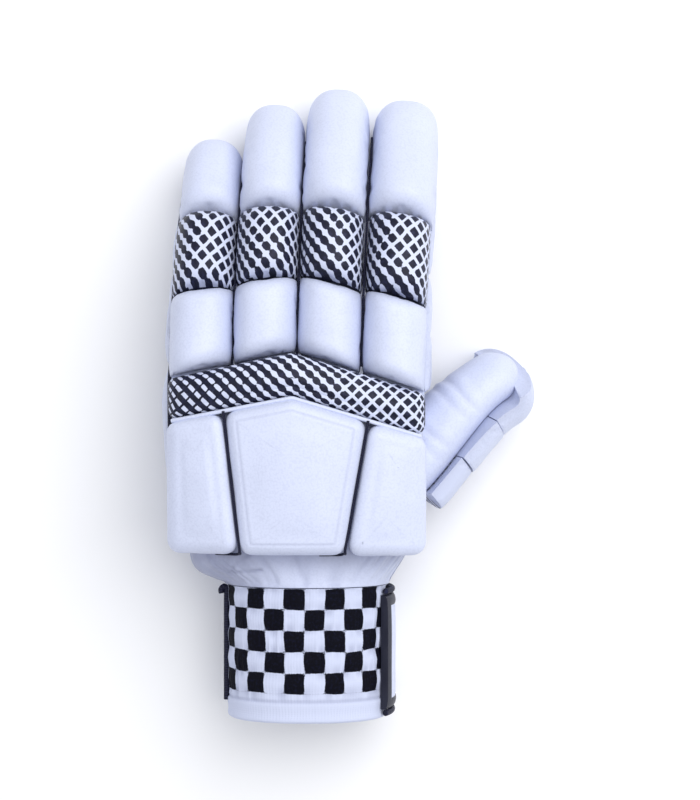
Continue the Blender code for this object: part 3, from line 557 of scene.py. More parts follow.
def finger_covers(name, place, tip_width):
    stall = STALLS[name]
    x = place * FINGER_PITCH
    top = FINGER_RADIUS + ROLL_THICKNESS
    seams = (("band_high", FINGER_RADIUS), ("net_low", top), ("net_high", top))
    low, middle, high = (stall.distance_at_y(seam_y(seam, x), height) for seam, height in seams)
    slopes = [seam_slope(seam, x) for seam, _ in seams]
    half, wide = SEAM_GAP / 2, (FINGER_PITCH - SEAM_GAP) / 2
    thick, narrow = NET_ROLL
    rolls = (
        # part, span, slopes of its seams, half width and thickness, wrap
        ("base", (low + half, middle - half), slopes[:2], (wide, ROLL_THICKNESS), 0.0),
        ("net", (middle + half, high - half), slopes[1:], (wide * narrow, ROLL_THICKNESS * thick), 0.0),
        ("tip", (high + half, stall.length), (slopes[2], 0.0),
         (tip_width * FINGER_PITCH / 2, ROLL_THICKNESS), ROLL_WRAP),
    )
    return [roll_cover(f"roll_{part}_{name}", stall, span, ends, size, PAD_SKIRT, ROLL_SEAM, wrap)
            for part, span, ends, size, wrap in rolls]


def thumb_covers():
    covers = []
    for name, start, end, width in THUMB_PADS:
        wrap = ROLL_WRAP if end == 1.0 else 0.0
        span = (start * THUMB.length + GAP, end * THUMB.length - (0.0 if wrap else GAP))
        size = (THUMB_PAD_WIDTH / 2 * width, THUMB_PAD_THICKNESS)
        covers.append(roll_cover("thumb_pad_" + name, THUMB, span, (0.0, 0.0), size, THUMB_SKIRT,
                                 THUMB_SEAM, wrap))
    return covers


def side_frame(stall, side, distance):
    """Where a bar's section stands: down the hand's side, then past the knuckles down a stall's."""
    centre, across, out, _ = stall.at(distance)
    x, z, *hand_sizes = hand_section(KNUCKLE_Y + distance, GAP)
    on_hand = distance < 0
    on_side = (joined(x, KNUCKLE_Y + distance, z), vec(side, 0, 0), vec(0, 0, 1))
    on_stall = (centre, across * side, out)
    places = [np.where(on_hand[..., None], a, b) for a, b in zip(on_side, on_stall)]
    sizes = zip(hand_sizes, stall.sizes(np.maximum(distance, 0), GAP))
    return *places, *(np.where(on_hand, a, b) for a, b in sizes)


def bar_cover(name, stall, side, start, end):
    along = np.linspace(0, 1, int(round((end - start) / STEP)) + 1)[:, None]
    distance = blend(start, end, along)
    centre, across, out, half, high, power = side_frame(stall, side, distance)
    round_end = np.sqrt(1 - np.minimum(1, np.abs(2 * along - 1)) ** 6)
    top = np.arcsin((BAR_ABOVE / high) ** (power / 2))
    bottom = -np.arcsin((BAR_BELOW / high) ** (power / 2))
    share = np.linspace(0, 1, BAR_COLUMNS)[None, :]
    angle = blend(top, bottom, share)
    bulge = np.sqrt(np.maximum(0.0, 1 - np.abs(2 * share - 1) ** 3.5))
    grow = BAR_THICKNESS * bulge * blend(BAR_ENDS * 0.5, 1.0, round_end)

    def face(grow, angle):
        b, n = squircle(half + grow, high + grow, power, angle)
        return centre + across * b[..., None] + out * n[..., None]

    grid, under = face(grow, angle), face(0.0, angle[:, 1:-1:3])[:, ::-1]
    if side < 0:
        grid, under = grid[:, ::-1], under[:, ::-1]
    return Cover(name, grid, under, joined(share * (BAR_ABOVE + BAR_BELOW) * 1.2, distance) / MM)


def bar_covers():
    little, index = STALLS["little"], STALLS["index"]
    low, high = (little.distance_at_y(y, 0.0) for y in (BAR_SEAM_LOW_Y, BAR_SEAM_HIGH_Y))
    middle = index.distance_at_y(BAR_SEAM_HIGH_Y, 0.0)
    bars = (
        # name, stall, side, start, end
        ("low_little", little, -1, BAR_Y - KNUCKLE_Y, low),
        ("mid_little", little, -1, low, high),
        ("high_little", little, -1, high, little.length),
        ("low_index", index, 1, THUMB_WEB, middle),
        ("high_index", index, 1, middle, index.length),
    )
    return [bar_cover("bar_" + name, stall, side, start + GAP, end - GAP)
            for name, stall, side, start, end in bars]


def swell(covers):
    """Blows the covers up as one cloth, held along the edges of each, and caps how far they move."""
    points = np.concatenate([c.grid.reshape(-1, 3) for c in covers]) * SIM_SCALE
    faces, held, first = [], [], 0
    for c in covers:
        rows, columns = c.grid.shape[:2]
        faces += (quads(rows, columns) + first).tolist()
        number = np.arange(rows * columns).reshape(rows, columns) + first
        held += [*number[0], *number[-1], *number[1:-1, 0], *number[1:-1, -1]]
        first += rows * columns
    mesh = bpy.data.meshes.new("cloth")
    mesh.from_pydata(points.tolist(), [], faces)
    cloth = bpy.data.objects.new("cloth", mesh)
    scene = bpy.context.scene
    scene.collection.objects.link(cloth)
    group = cloth.vertex_groups.new(name="held")
    group.add([int(k) for k in held], 1.0, "REPLACE")
    modifier = cloth.modifiers.new("cloth", "CLOTH")
    for key, value in CLOTH.items():
        setattr(modifier.settings, key, value)
    modifier.settings.effector_weights.gravity = 0
    modifier.collision_settings.use_collision = False
    modifier.point_cache.frame_start, modifier.point_cache.frame_end = 1, SIM_FRAMES
    for k in range(1, SIM_FRAMES + 1):
        scene.frame_set(k)
    result = cloth.evaluated_get(bpy.context.evaluated_depsgraph_get()).data
    moved = np.zeros(len(points) * 3)
    result.vertices.foreach_get("co", moved)
    moved = (moved.reshape(-1, 3) - points) / SIM_SCALE
    far = np.linalg.norm(moved, axis=1)
    print("swell mm: mean", round(far.mean() / MM, 2), "most", round(far.max() / MM, 2))
    moved *= (SWELL * np.tanh(far / SWELL) / np.maximum(far, 1e-9))[:, None]
    bpy.data.objects.remove(cloth)
    scene.frame_set(1)
    for c in covers:
        count = c.grid.shape[0] * c.grid.shape[1]
        c.grid = c.grid + moved[:count].reshape(c.grid.shape)
        moved = moved[count:]


def finish_cover(c, finish, slot, pucker, join=None, plain=False):
    """Refines a cover, gives it its fine puckers and painted shade towards its ends and sides, closes it
    underneath and makes the piece.
    """
    grid, uv = refine(c.grid), refine(c.uv)
    rows, columns = grid.shape[:2]
    out = normals(grid)
    to_end = np.minimum(np.arange(rows), np.arange(rows)[::-1])[:, None] * STEP / 2
    to_side = np.minimum(np.arange(columns), np.arange(columns)[::-1])[None, :] * STEP / 2
    near_seam = np.exp(-to_end / (4.5 * MM))
    near_side = np.exp(-to_side / (5.0 * MM))
    fixed = smooth(to_end / (1.2 * MM)) * smooth(to_side / (1.2 * MM))
    girth, run = uv[..., 0], uv[..., 1]
    wrinkle = noise(joined(girth, run * 0.32, 0.0) * MM, 2.6 * MM, len(c.name)) * near_seam
    wrinkle += noise(joined(girth * 0.3, run, 0.0) * MM, 3.4 * MM, 3 + len(c.name)) * near_side * 0.8
    lumps = noise(grid, 13 * MM, 5) * 0.22 * MM + noise(grid, 6 * MM, 6) * 0.07 * MM
    grid = grid + out * ((wrinkle * pucker + lumps) * fixed)[..., None]
    grid[..., 2] = np.maximum(grid[..., 2], 0.0)
    if c.limit is not None:
        across, centre = unit(refine(c.across)), refine(c.centre)
        b = ((grid - centre) * across).sum(-1)
        most = c.limit
        if c.name.startswith("roll_tip"):
            most = c.limit + TIP_BULGE
        elif c.name.startswith("roll"):
            most = (FINGER_PITCH - ROLL_GAP) / 2
        wider = np.clip(b * most / c.limit, -most, most)
        grid = grid + across * (wider - b)[..., None]
    under = np.empty((rows, *c.under.shape[1:]))
    under[::2] = c.under
    under[1::2] = (c.under[1:] + c.under[:-1]) / 2

    def mark(values, below=0.0):
        return np.concatenate([values + 0 * to_end * to_side, np.full(under.shape[:2], below)], 1)

    # Painted shade towards a cover's ends and sides, where it meets its neighbours; none underneath.
    marks = {"crease": mark(np.maximum(near_seam * 0.5, near_side * 0.5))}
    if join is not None:
        marks["join"] = mark(join(grid))
        marks["rim"] = mark(NO_RIM if plain else to_end / MM, NO_RIM)
        marks["bare"] = mark(normals(grid)[..., 2].mean(0) if plain else 0.0)
    uv = np.concatenate([uv, np.repeat(uv[:, -1:], under.shape[1], 1)], 1)
    piece = ring_piece(c.name + "_cover", np.concatenate([grid, under], 1), finish, uv=uv, marks=marks,
                       slot=slot, stands_for=[c.name])
    c.grid, c.normals = grid, normals(grid)


# Materials

class Finish:
    """A Principled material built node by node."""

    def __init__(self, name, **values):
        self.material = bpy.data.materials.new(name)
        self.material.use_nodes = True
        self.tree = self.material.node_tree
        self.shader = self.tree.nodes["Principled BSDF"]
        for key, value in values.items():
            self.shader.inputs[key.replace("_", " ")].default_value = value

    def put(self, node, values):
        """Links or sets a node's inputs, given by name or place, and returns its first output."""
        for key, value in values.items():
            if isinstance(value, bpy.types.NodeSocket):
                self.tree.links.new(value, node.inputs[key])
            elif value is not None:
                node.inputs[key].default_value = value
        return node.outputs[0]

    def node(self, kind, *inputs, **settings):
        made = self.tree.nodes.new("ShaderNode" + kind)
        for key, value in settings.items():
            setattr(made, key, value)
        self.put(made, dict(enumerate(inputs)))
        return made

    def math(self, operation, a, b=0.0, c=0.0):
        return self.node("Math", a, b, c, operation=operation).outputs[0]

    def times(self, a, b):
        return self.math("MULTIPLY", a, b)

    def plus(self, a, b):
        return self.math("ADD", a, b)

    def minus(self, a, b):
        return self.math("SUBTRACT", a, b)

    def wave(self, kind, value, period):
        return self.math(kind, self.times(value, math.tau / period))

    def mix(self, share, low, high):
        made = self.node("Mix", data_type="RGBA")
        self.put(made, {0: share, 6: low, 7: high})
        return made.outputs[2]

    def blend(self, share, low, high):
        return self.put(self.node("Mix"), {0: share, 2: low, 3: high})

    def step(self, value, low, high):
        return self.node("MapRange", value, low, high, 0.0, 1.0, interpolation_type="SMOOTHSTEP").outputs[0]

    def attribute(self, name):
        return self.node("Attribute", attribute_name=name).outputs["Fac"]

    def place(self):
        """Object coordinates in millimetres."""
        made = self.node("VectorMath", self.node("TexCoord").outputs["Object"], operation="SCALE")
        return self.put(made, {"Scale": 1 / MM})

    def uv(self):
        return self.node("UVMap", uv_map="mm").outputs[0]

    def split(self, vector):
        return self.node("SeparateXYZ", vector).outputs[:2]

    def noise(self, vector, scale, detail=2.0, rough=0.5):
        return self.put(self.node("TexNoise"),
                        {"Vector": vector, "Scale": scale, "Detail": detail, "Roughness": rough})

    def swing(self, vector, scale, size, detail=2.0):
        """Noise to both sides of nought."""
        return self.times(self.minus(self.noise(vector, scale, detail), 0.5), size)

    def bump(self, height, distance, strength=1.0, under=None):
        return self.put(self.node("Bump"),
                        {"Height": height, "Distance": distance, "Strength": strength, "Normal": under})

    def done(self, colour, roughness=None, normal=None):
        self.put(self.shader, {"Base Color": colour, "Roughness": roughness, "Normal": normal})
        return self.material


WHITE = (0.65, 0.695, 0.87, 1.0)
PALM = (0.55, 0.60, 0.79, 1.0)
# Painted shade colour: mixed into the whites where seams, folds, hollows and the feet of pads would lie in
# shade.
SHADE_TONE = (0.27, 0.29, 0.42, 1.0)
NAVY = (0.006, 0.007, 0.022, 1.0)
FADED_NAVY = (0.018, 0.020, 0.055, 1.0)
BLACK = (0.002, 0.002, 0.006, 1.0)


def leather(name, colour, grain, rough, bound=False):
    """Coated leather: pebbled grain, faint blotches, and painted shade towards the seams, in folds and in the
    grain's hollows.
    """
    f = Finish(name, Specular_IOR_Level=0.42, Coat_Weight=0.06, Coat_Roughness=0.35)
    at = f.place()
    pebbles = f.put(f.node("TexVoronoi"), {"Vector": at, "Scale": 1.15})
    fine = f.noise(at, 2.6, 3.0, 0.6)
    soft = f.noise(at, 0.16, 3.0, 0.55)
    # Painted shade from the pieces' mark: darker towards seams, in folds and under the pads.
    crease = f.times(f.attribute("crease"), f.blend(soft, 0.55, 1.0))
    tone = f.mix(f.step(f.noise(at, 0.045), 0.3, 0.7), colour, [c * 0.965 for c in colour[:3]] + [1.0])
    tone = f.mix(f.times(crease, 0.55), tone, SHADE_TONE)
    # Painted shade in the grain's hollows, where the bump below sinks.
    tone = f.mix(f.times(f.step(pebbles, 0.45, 0.8), 0.10), tone, SHADE_TONE)
    if bound:
        tone = f.mix(f.step(f.attribute("within"), 0.1, -0.1), tone, NAVY)
    normal = f.bump(f.minus(f.times(fine, 0.5), f.times(pebbles, 0.6)), 0.11 * MM, grain)
    normal = f.bump(soft, 0.8 * MM, 0.25, normal)
    gloss = f.plus(f.times(soft, 0.16), f.times(fine, 0.08))
    return f.done(tone, f.plus(gloss, rough - 0.12), normal)


def net_print(f, at):
    """0 on white and 1 on the print: a diamond lattice whose cells join as `join` grows."""
    x, y = f.split(at)
    x = f.plus(x, f.swing(at, 0.12, 2.2))
    y = f.plus(y, f.swing(at, 0.12, -1.6))
    period = NET_PITCH * math.sqrt(2)
    down, up = (f.wave("COSINE", f.math("MULTIPLY_ADD", y, sign, x), period) for sign in (1.0, -1.0))
    cells = f.plus(f.math("SMOOTH_MIN", down, up, 0.55), 0.58)
    stripes = f.plus(f.math("MULTIPLY_ADD", up, 0.45, down), 0.22)
    beads = f.math("SMOOTH_MAX", f.plus(down, 0.26), f.minus(up, 0.74), 0.25)
    join = f.attribute("join")
    field = f.blend(join, f.blend(join, cells, stripes), f.blend(join, stripes, beads))
    field = f.plus(field, f.swing(at, 1.6, 0.35))
    ink = f.math("MAXIMUM", f.step(field, -0.09, 0.09), f.step(f.attribute("rim"), 1.1, 0.8))
    return f.times(ink, f.step(f.attribute("bare"), 0.12, 0.08))


def net_cloth():
    """White cloth in a plain weave, printed with the net."""
    f = Finish("net_cloth", Specular_IOR_Level=0.25)
    at = f.uv()
    ink = net_print(f, at)
    dark = f.mix(f.step(f.noise(at, 0.5, 3.0, 0.6), 0.42, 0.72), NAVY, FADED_NAVY)
    # Painted shade: the white cloth darker towards the seams and sides of its pieces.
    white = f.mix(f.times(f.attribute("crease"), 0.5), WHITE, SHADE_TONE)
    threads = f.times(*(f.wave("SINE", k, 1 / 1.4) for k in f.split(at)))
    normal = f.bump(ink, 0.10 * MM, 0.6, f.bump(threads, 0.05 * MM, 0.5))
    return f.done(f.mix(ink, white, dark), f.blend(ink, 0.55, 0.42), normal)


def knit_cloth():
    """The cuff: a plain checkerboard on ribbed elastic cloth, above a plain hem."""
    f = Finish("cuff_knit", Specular_IOR_Level=0.12)
    at = f.uv()
    warp = f.swing(at, 0.06, 3.0)
    u, v = f.split(at)
    u = f.plus(u, warp)
    v = f.plus(v, f.times(warp, 0.7))
    columns = f.wave("COSINE", f.minus(u, CHECK_PLACE), 2 * CHECK_WIDTH)
    field = f.times(columns, f.wave("SINE", v, 2 * CHECK_HEIGHT))
    ink = f.step(f.plus(field, f.swing(at, 2.0, 0.16)), -0.035, 0.035)
    hem = CHECK_ROWS * CHECK_HEIGHT
    ink = f.times(f.times(ink, f.step(v, hem + 0.12, hem - 0.12)), f.step(v, -0.1, 0.1))
    dark = f.mix(f.step(f.noise(at, 0.8, 3.0), 0.45, 0.8), BLACK, NAVY)
    # Painted shade: the white squares darker in the shirring's puckers and along the hem's line.
    white = f.mix(f.times(f.attribute("crease"), 0.8), WHITE, SHADE_TONE)
    ribs = f.math("MULTIPLY_ADD", f.wave("SINE", v, 0.95), 0.35, f.wave("SINE", u, 1.3))
    return f.done(f.mix(ink, white, dark), 0.8, f.bump(ribs, 0.10 * MM, 0.35))


def cord_cloth(name, colour, lighter):
    """Twisted thread, from uv that runs round the cord and along it."""
    f = Finish(name, Specular_IOR_Level=0.25)
    turn, run = f.split(f.uv())
    twist = f.math("SINE", f.math("MULTIPLY_ADD", turn, math.tau, f.times(run, math.tau / 1.1)))
    tone = f.mix(f.step(twist, 0.2, 1.0), colour, lighter)
    return f.done(tone, 0.55, f.bump(twist, 0.12 * MM, 0.7))


white_leather = leather("white_leather_coated", WHITE, 0.35, 0.46)
palm_leather = leather("palm_leather_soft", PALM, 0.55, 0.60)
strap_leather = leather("strap_leather_bound", WHITE, 0.35, 0.5, bound=True)
net = net_cloth()
knit = knit_cloth()
navy_cord = cord_cloth("navy_cord", NAVY, FADED_NAVY)
white_thread = cord_cloth("white_thread", WHITE, (0.9, 0.91, 0.95, 1.0))
navy_thread = cord_cloth("navy_thread", BLACK, NAVY)


# Building

covers = {}
for name, place, lean, reach, tip_width in FINGERS:
    for c in finger_covers(name, place, tip_width):
        covers[c.name] = c
for c in [*thumb_covers(), *bar_covers()]:
    covers[c.name] = c
swell(list(covers.values()))


def net_join(low_x, high_x):
    """How far the net print's cells are joined: fully at low_x and not at all at high_x."""
    def join(grid):
        drift = 0.35 * noise(grid, 16 * MM, 2)
        return np.clip((high_x - grid[..., 0]) / (high_x - low_x) + drift, 0, 1)
    return join


for c in covers.values():
    x = c.grid[..., 0].mean()
    if c.name.startswith("roll_net"):
        finish_cover(c, net, "net_fabric", 0.34 * MM, net_join(x - 26 * MM, x + 9 * MM))
    elif c.name == "thumb_pad_base":
        finish_cover(c, net, "net_fabric", 0.25 * MM, net_join(x - 40 * MM, x - 20 * MM), plain=True)
    else:
        finish_cover(c, white_leather, "white_leather", 0.16 * MM)


# The hand's leather, stalls and cuff

def back_top(x, y):
    padding = BACK_TOP - KNUCKLE_Z - KNUCKLE_DEPTH / 2
    side = np.abs(x) / (BACK_WIDTH / 2)
    towards_wrist = np.maximum(0.0, 1 - y / BAND_LOW_Y)
    return BACK_TOP - padding * (BACK_CROWN * side**2.2 + BACK_FALL * towards_wrist**2)


def hand_skin(name, start, end, finish, slot, fold):
    """One half of the hand's leather: an outer skin with its folds and their painted shade, and a plain inner
    one.
    """
    y = np.linspace(WRIST_Y + GAP, KNUCKLE_Y - GAP, 110)[:, None]
    angle = np.linspace(start, end, 220)[None, :]
    outer = hand_point(y, angle)
    depth, crease = fold(outer, y, angle)
    fixed = smooth((y - WRIST_Y) / (3 * MM)) * smooth((KNUCKLE_Y - y) / (2 * MM))
    loose = bell(y + 5 * MM, 7 * MM) * np.clip(-np.cos(angle), 0, 1) ** 2
    outer = outer + normals(outer) * ((depth + BAG * loose) * fixed)[..., None]
    inner = hand_point(y, angle[:, ::-6], -LEATHER)
    rings = np.concatenate([outer, inner], 1)
    rings[..., 2] += GAP / 2 if start > 0 else -GAP / 2
    marks = {"crease": np.concatenate([crease, np.full(inner.shape[:2], 0.4)], 1)}
    return ring_piece(name + "_skin", rings, finish, marks=marks, slot=slot, stands_for=[name])


def skin_line(points, side, beside=0.0):
    """A smooth line on the hand's back (side 1) or palm (-1) through points given from above in mm."""
    line = spline([vec(x, y, 0) * MM for x, y in points], 70)
    along = unit(np.gradient(line, axis=0))
    line = line + joined(-along[:, 1], along[:, 0], 0.0) * beside
    middle, _, half, _, power = hand_section(line[:, 1])
    c = np.clip((line[:, 0] - middle) / half, -1, 1)
    return hand_point(line[:, 1], side * np.arccos(np.sign(c) * np.abs(c) ** (power / 2)), 0.05 * MM)


def near_line(outer, points, side, width):
    """1 on a line drawn on the skin, falling to 0 beside it."""
    return bell(np.linalg.norm(outer[..., None, :2] - skin_line(points, side)[:, :2], axis=-1).min(-1), width)


def back_folds(outer, y, angle):
    """Gathers that run from the pads' foot down to the cuff, with painted shade in their valleys, down the
    outer side and along the two seams, and a painted shadow under the pads.
    """
    near = smooth((10 * MM - y) / (20 * MM))
    lean = 0.5 * (y - 4 * MM) * np.cos(angle) + 1.2 * MM * noise(outer, 9 * MM, 14)
    run = joined(angle * 32 * MM + lean, 0.12 * y, 0.0)
    waves = noise(run, 6.0 * MM, 1) + 0.4 * noise(run, 2.8 * MM, 2)
    valley = bell(waves, VALLEY)
    folds = -(0.35 * valley + 0.9 * np.clip(1 - np.abs(waves) * 1.3, 0, 1)) * MM * near
    seams = sum(near_line(outer, points, 1, 0.55 * MM) for points in WRIST_SEAMS)
    # Painted shadow under the pads' foot; painted shade down the outer side, in the fold valleys and along
    # the two dented seams.
    shade = smooth((13 * MM - np.abs(y - 1 * MM)) / (13 * MM))
    outside = 3.4 * near * np.clip(-np.cos(angle) - 0.4, 0, 1)
    crease = 0.2 + 0.45 * near * valley + 1.2 * shade + outside + 1.8 * seams
    return folds - 0.6 * MM * seams, np.clip(crease, 0, 1.8)


def palm_folds(outer, y, angle):
    """Long soft wrinkles down the palm, with painted shade in their valleys and along the patch's seam."""
    bend = 6 * MM * noise(outer, 40 * MM, 9)
    run = joined(outer[..., 0] + bend, 0.20 * outer[..., 1], 0.0)
    waves = noise(run, 8 * MM, 4) + 0.45 * noise(run, 3.4 * MM, 5)
    flat = smooth((math.pi / 2 - np.abs(angle + math.pi / 2)) / 0.5)
    valley = bell(waves, VALLEY)
    seam = near_line(outer, PALM_SEAM, -1, 0.7 * MM)
    depth = (0.7 * valley + 0.9 * np.clip(1 - np.abs(waves) * 1.5, 0, 1)) * flat + 0.5 * seam
    return -depth * MM, np.clip(0.25 * valley * flat + 0.7 * seam, 0, 1)


hand_skin("back_leather", math.pi, 0.0, white_leather, "white_leather", back_folds)
hand_skin("palm_leather", 0.0, -math.pi, palm_leather, "palm_leather", palm_folds)


def stall_skin(name, stall, finish, joints, shaded=None):
    """A stall's leather with its round tip, its cross wrinkles at the joints with painted shade in them, and
    its inner wall; `shaded`, if given, is the angle round it of a band of painted shade.
    """
    length = stall.length
    distance = np.linspace(0, length, int(length / (1.2 * MM)))
    latitude = np.radians(np.linspace(0, 90, 18)[1:-1])
    place = np.concatenate([distance, np.full(len(latitude), length)])[:, None]
    tip = np.concatenate([0 * distance, latitude])[:, None]
    angle = -np.linspace(0, math.tau, STALL_COLUMNS, endpoint=False)[None, :]

    def skin(grow):
        b, n = squircle(*stall.sizes(place, grow), angle)
        centre, across, out, along = stall.at(place)
        centre = centre + along * (stall.sizes(length, grow)[0] * np.sin(tip))[..., None]
        return centre + (across * b[..., None] + out * n[..., None]) * np.cos(tip)[..., None]

    outer = skin(0.0)
    below = np.clip(-np.sin(angle), 0, 1) ** 0.6
    depth, crease = 0.0, 0.0
    for joint in joints:
        away = place - joint * length
        fold = bell(away, 5.5 * MM) * below
        wave = np.cos(away / (3.4 * MM) * math.pi + 1.3 * noise(outer, 9 * MM, 7))
        depth = depth + fold * (0.55 * wave - 0.35) * MM
        crease = crease + fold * np.clip(-wave, 0, 1) * 0.8
    depth = depth + noise(outer * vec(1, 0.4, 1), 6 * MM, 8) * 0.25 * MM * below
    depth = np.minimum(depth, 0.3 * MM) * smooth(place / (2 * MM)) * np.cos(tip)
    outer = outer + ring_normals(outer) * depth[..., None]
    outer[..., 2] = np.maximum(outer[..., 2], 0.0)
    rows, count = len(place), outer.shape[0] * STALL_COLUMNS
    shell = quads(rows, STALL_COLUMNS, closed=True)
    end = np.arange((rows - 1) * STALL_COLUMNS, count)
    ring = np.arange(STALL_COLUMNS)
    after = (ring + 1) % STALL_COLUMNS
    faces = [*shell, *(shell[:, ::-1] + count), end, (end + count)[::-1]]
    faces += [*joined(ring + count, after + count, after, ring)]
    # Painted shade in a band along the stall's upper side, at the angle `shaded`.
    if shaded is not None:
        share = place / length
        painted_upper_shade = bell(angle - shaded, 0.5)
        crease = crease + 0.9 * painted_upper_shade * smooth((share - 0.3) / 0.25) * smooth((1.02 - share) / 0.3)
    crease = np.clip(crease, 0, 1)
    marks = {"crease": np.concatenate([crease, np.full_like(crease, 0.5)])}
    make_piece(name + "_skin", np.concatenate([outer, skin(-LEATHER)]), [f.tolist() for f in faces], finish,
               marks=marks, slot="palm_leather", stands_for=[name])


for name, stall in STALLS.items():
    stall_skin("stall_" + name, stall, palm_leather, (0.22, 0.48, 0.74))
stall_skin("stall_thumb", THUMB, white_leather, (0.55, 0.8), shaded=-0.84)

CUFF_CENTRE_Z = CUFF_DEPTH / 2 - CUFF_SINK + STRAP_THICKNESS + GAP
CUFF_FLOOR = STRAP_THICKNESS + GAP


def cuff_point(y, angle, grow, floor):
    x, z = squircle(CUFF_WIDTH / 2 + grow, CUFF_DEPTH / 2 + grow, CUFF_SQUARENESS, angle)
    return joined(WRIST_X + x, y, np.maximum(CUFF_CENTRE_Z + z, floor))


def cuff_angles(count):
    """Angles round the cuff at which points are evenly spaced, and the run from its top in mm."""
    turns = np.linspace(1.5 * math.pi, -0.5 * math.pi, 1441)
    curve = cuff_point(0.0, turns, 0.0, CUFF_FLOOR)
    run = run_along(curve)
    table = joined(turns, (run - run[len(run) // 2]) / MM)
    return sample(even(curve, count), np.arange(len(turns)), table).T


def make_cuff():
    """The elastic wristband: shirred cloth outside, a rolled hem and a plain inside."""
    angle, run = cuff_angles(361)[:, None]
    top, foot = WRIST_Y, WRIST_Y - CUFF_LENGTH
    y = np.linspace(foot, top, 96)[:, None]
    outer = cuff_point(y, angle, 0.0, CUFF_FLOOR)
    shirr = 0.5 + 0.5 * np.cos((top - y) / MM / CHECK_HEIGHT * math.tau)
    pucker = np.abs(noise(joined(run * MM, 0.35 * y, 0.0), 3.4 * MM, 12))
    hem = smooth((foot + HEM + 0.3 * MM - y) / (1.5 * MM))
    hem_line = bell(y - foot - HEM, 0.7 * MM)
    roll = np.sqrt(np.clip(1 - (1 - np.clip((y - foot) / (1.6 * MM), 0, 1)) ** 2, 0, 1))
    depth = -(0.45 * shirr + 0.55 * pucker * (1 - 0.8 * hem)) * MM * smooth((top - y) / (2 * MM))
    depth = depth - 0.5 * MM * hem_line - 1.2 * MM * (1 - roll)
    outer = outer + normals(outer) * depth[..., None]
    wall = CUFF_WALL - 1.0 * MM
    inner = cuff_point(y[::-3], angle, -wall, CUFF_FLOOR + wall)
    loop = np.concatenate([outer, inner, outer[:1]], 0)
    down = np.concatenate([(top - y) / MM, np.full((len(inner) + 1, 1), 90.0)], 0)
    # Painted shade in the puckers of the shirring and along the hem's line.
    crease = np.clip(0.15 + 0.6 * shirr * pucker * (1 - hem) + 0.5 * hem_line, 0, 1)
    crease = np.concatenate([crease, np.full(inner.shape[:2], 0.5), crease[:1]], 0)
    make_piece("cuff_knit_band", loop, quads(*loop.shape[:2]).tolist(), knit, uv=joined(run, down),
               marks={"crease": crease}, weld=True, slot="cuff_fabric", stands_for=["cuff"])


make_cuff()


# Pads on the back

def rounded_outline(corners, radius, spacing):
    """A plan outline with its corners rounded and its points evenly spaced, running anticlockwise."""
    points = []
    for before, corner, after in zip(corners[-1:] + corners[:-1], corners, corners[1:] + corners[:1]):
        before, after = unit(before - corner), unit(after - corner)
        half_angle = math.acos(np.clip(before @ after, -1, 1)) / 2
        reach = radius * 0.5 if half_angle > math.radians(80) else radius / math.tan(half_angle)
        start, end = corner + before * reach, corner + after * reach
        u = np.linspace(0, 1, 12)[:, None]
        points.append((1 - u) ** 2 * start + 2 * u * (1 - u) * corner + u * u * end)
    points = np.concatenate(points + [points[0][:1]])
    return even_points(points, int(run_along(points)[-1] / spacing) + 1)[:-1]


def inset(outline, distance):
    before = unit(outline - np.roll(outline, 1, axis=0))
    after = unit(np.roll(outline, -1, axis=0) - outline)
    normal = unit(joined(-before[:, 1] - after[:, 1], before[:, 0] + after[:, 0]))
    return outline + normal * distance


def nearest_on(spine, points):
    """The nearest point of a polyline to each point."""
    spots = []
    for a, b in zip(spine, spine[1:]):
        along = np.clip(((points - a) @ (b - a)) / ((b - a) @ (b - a)), 0, 1)[:, None]
        spots.append(a + (b - a) * along)
    nearest = np.argmin([np.linalg.norm(points - spot, axis=1) for spot in spots], axis=0)
    return np.array(spots)[nearest, np.arange(len(points))]


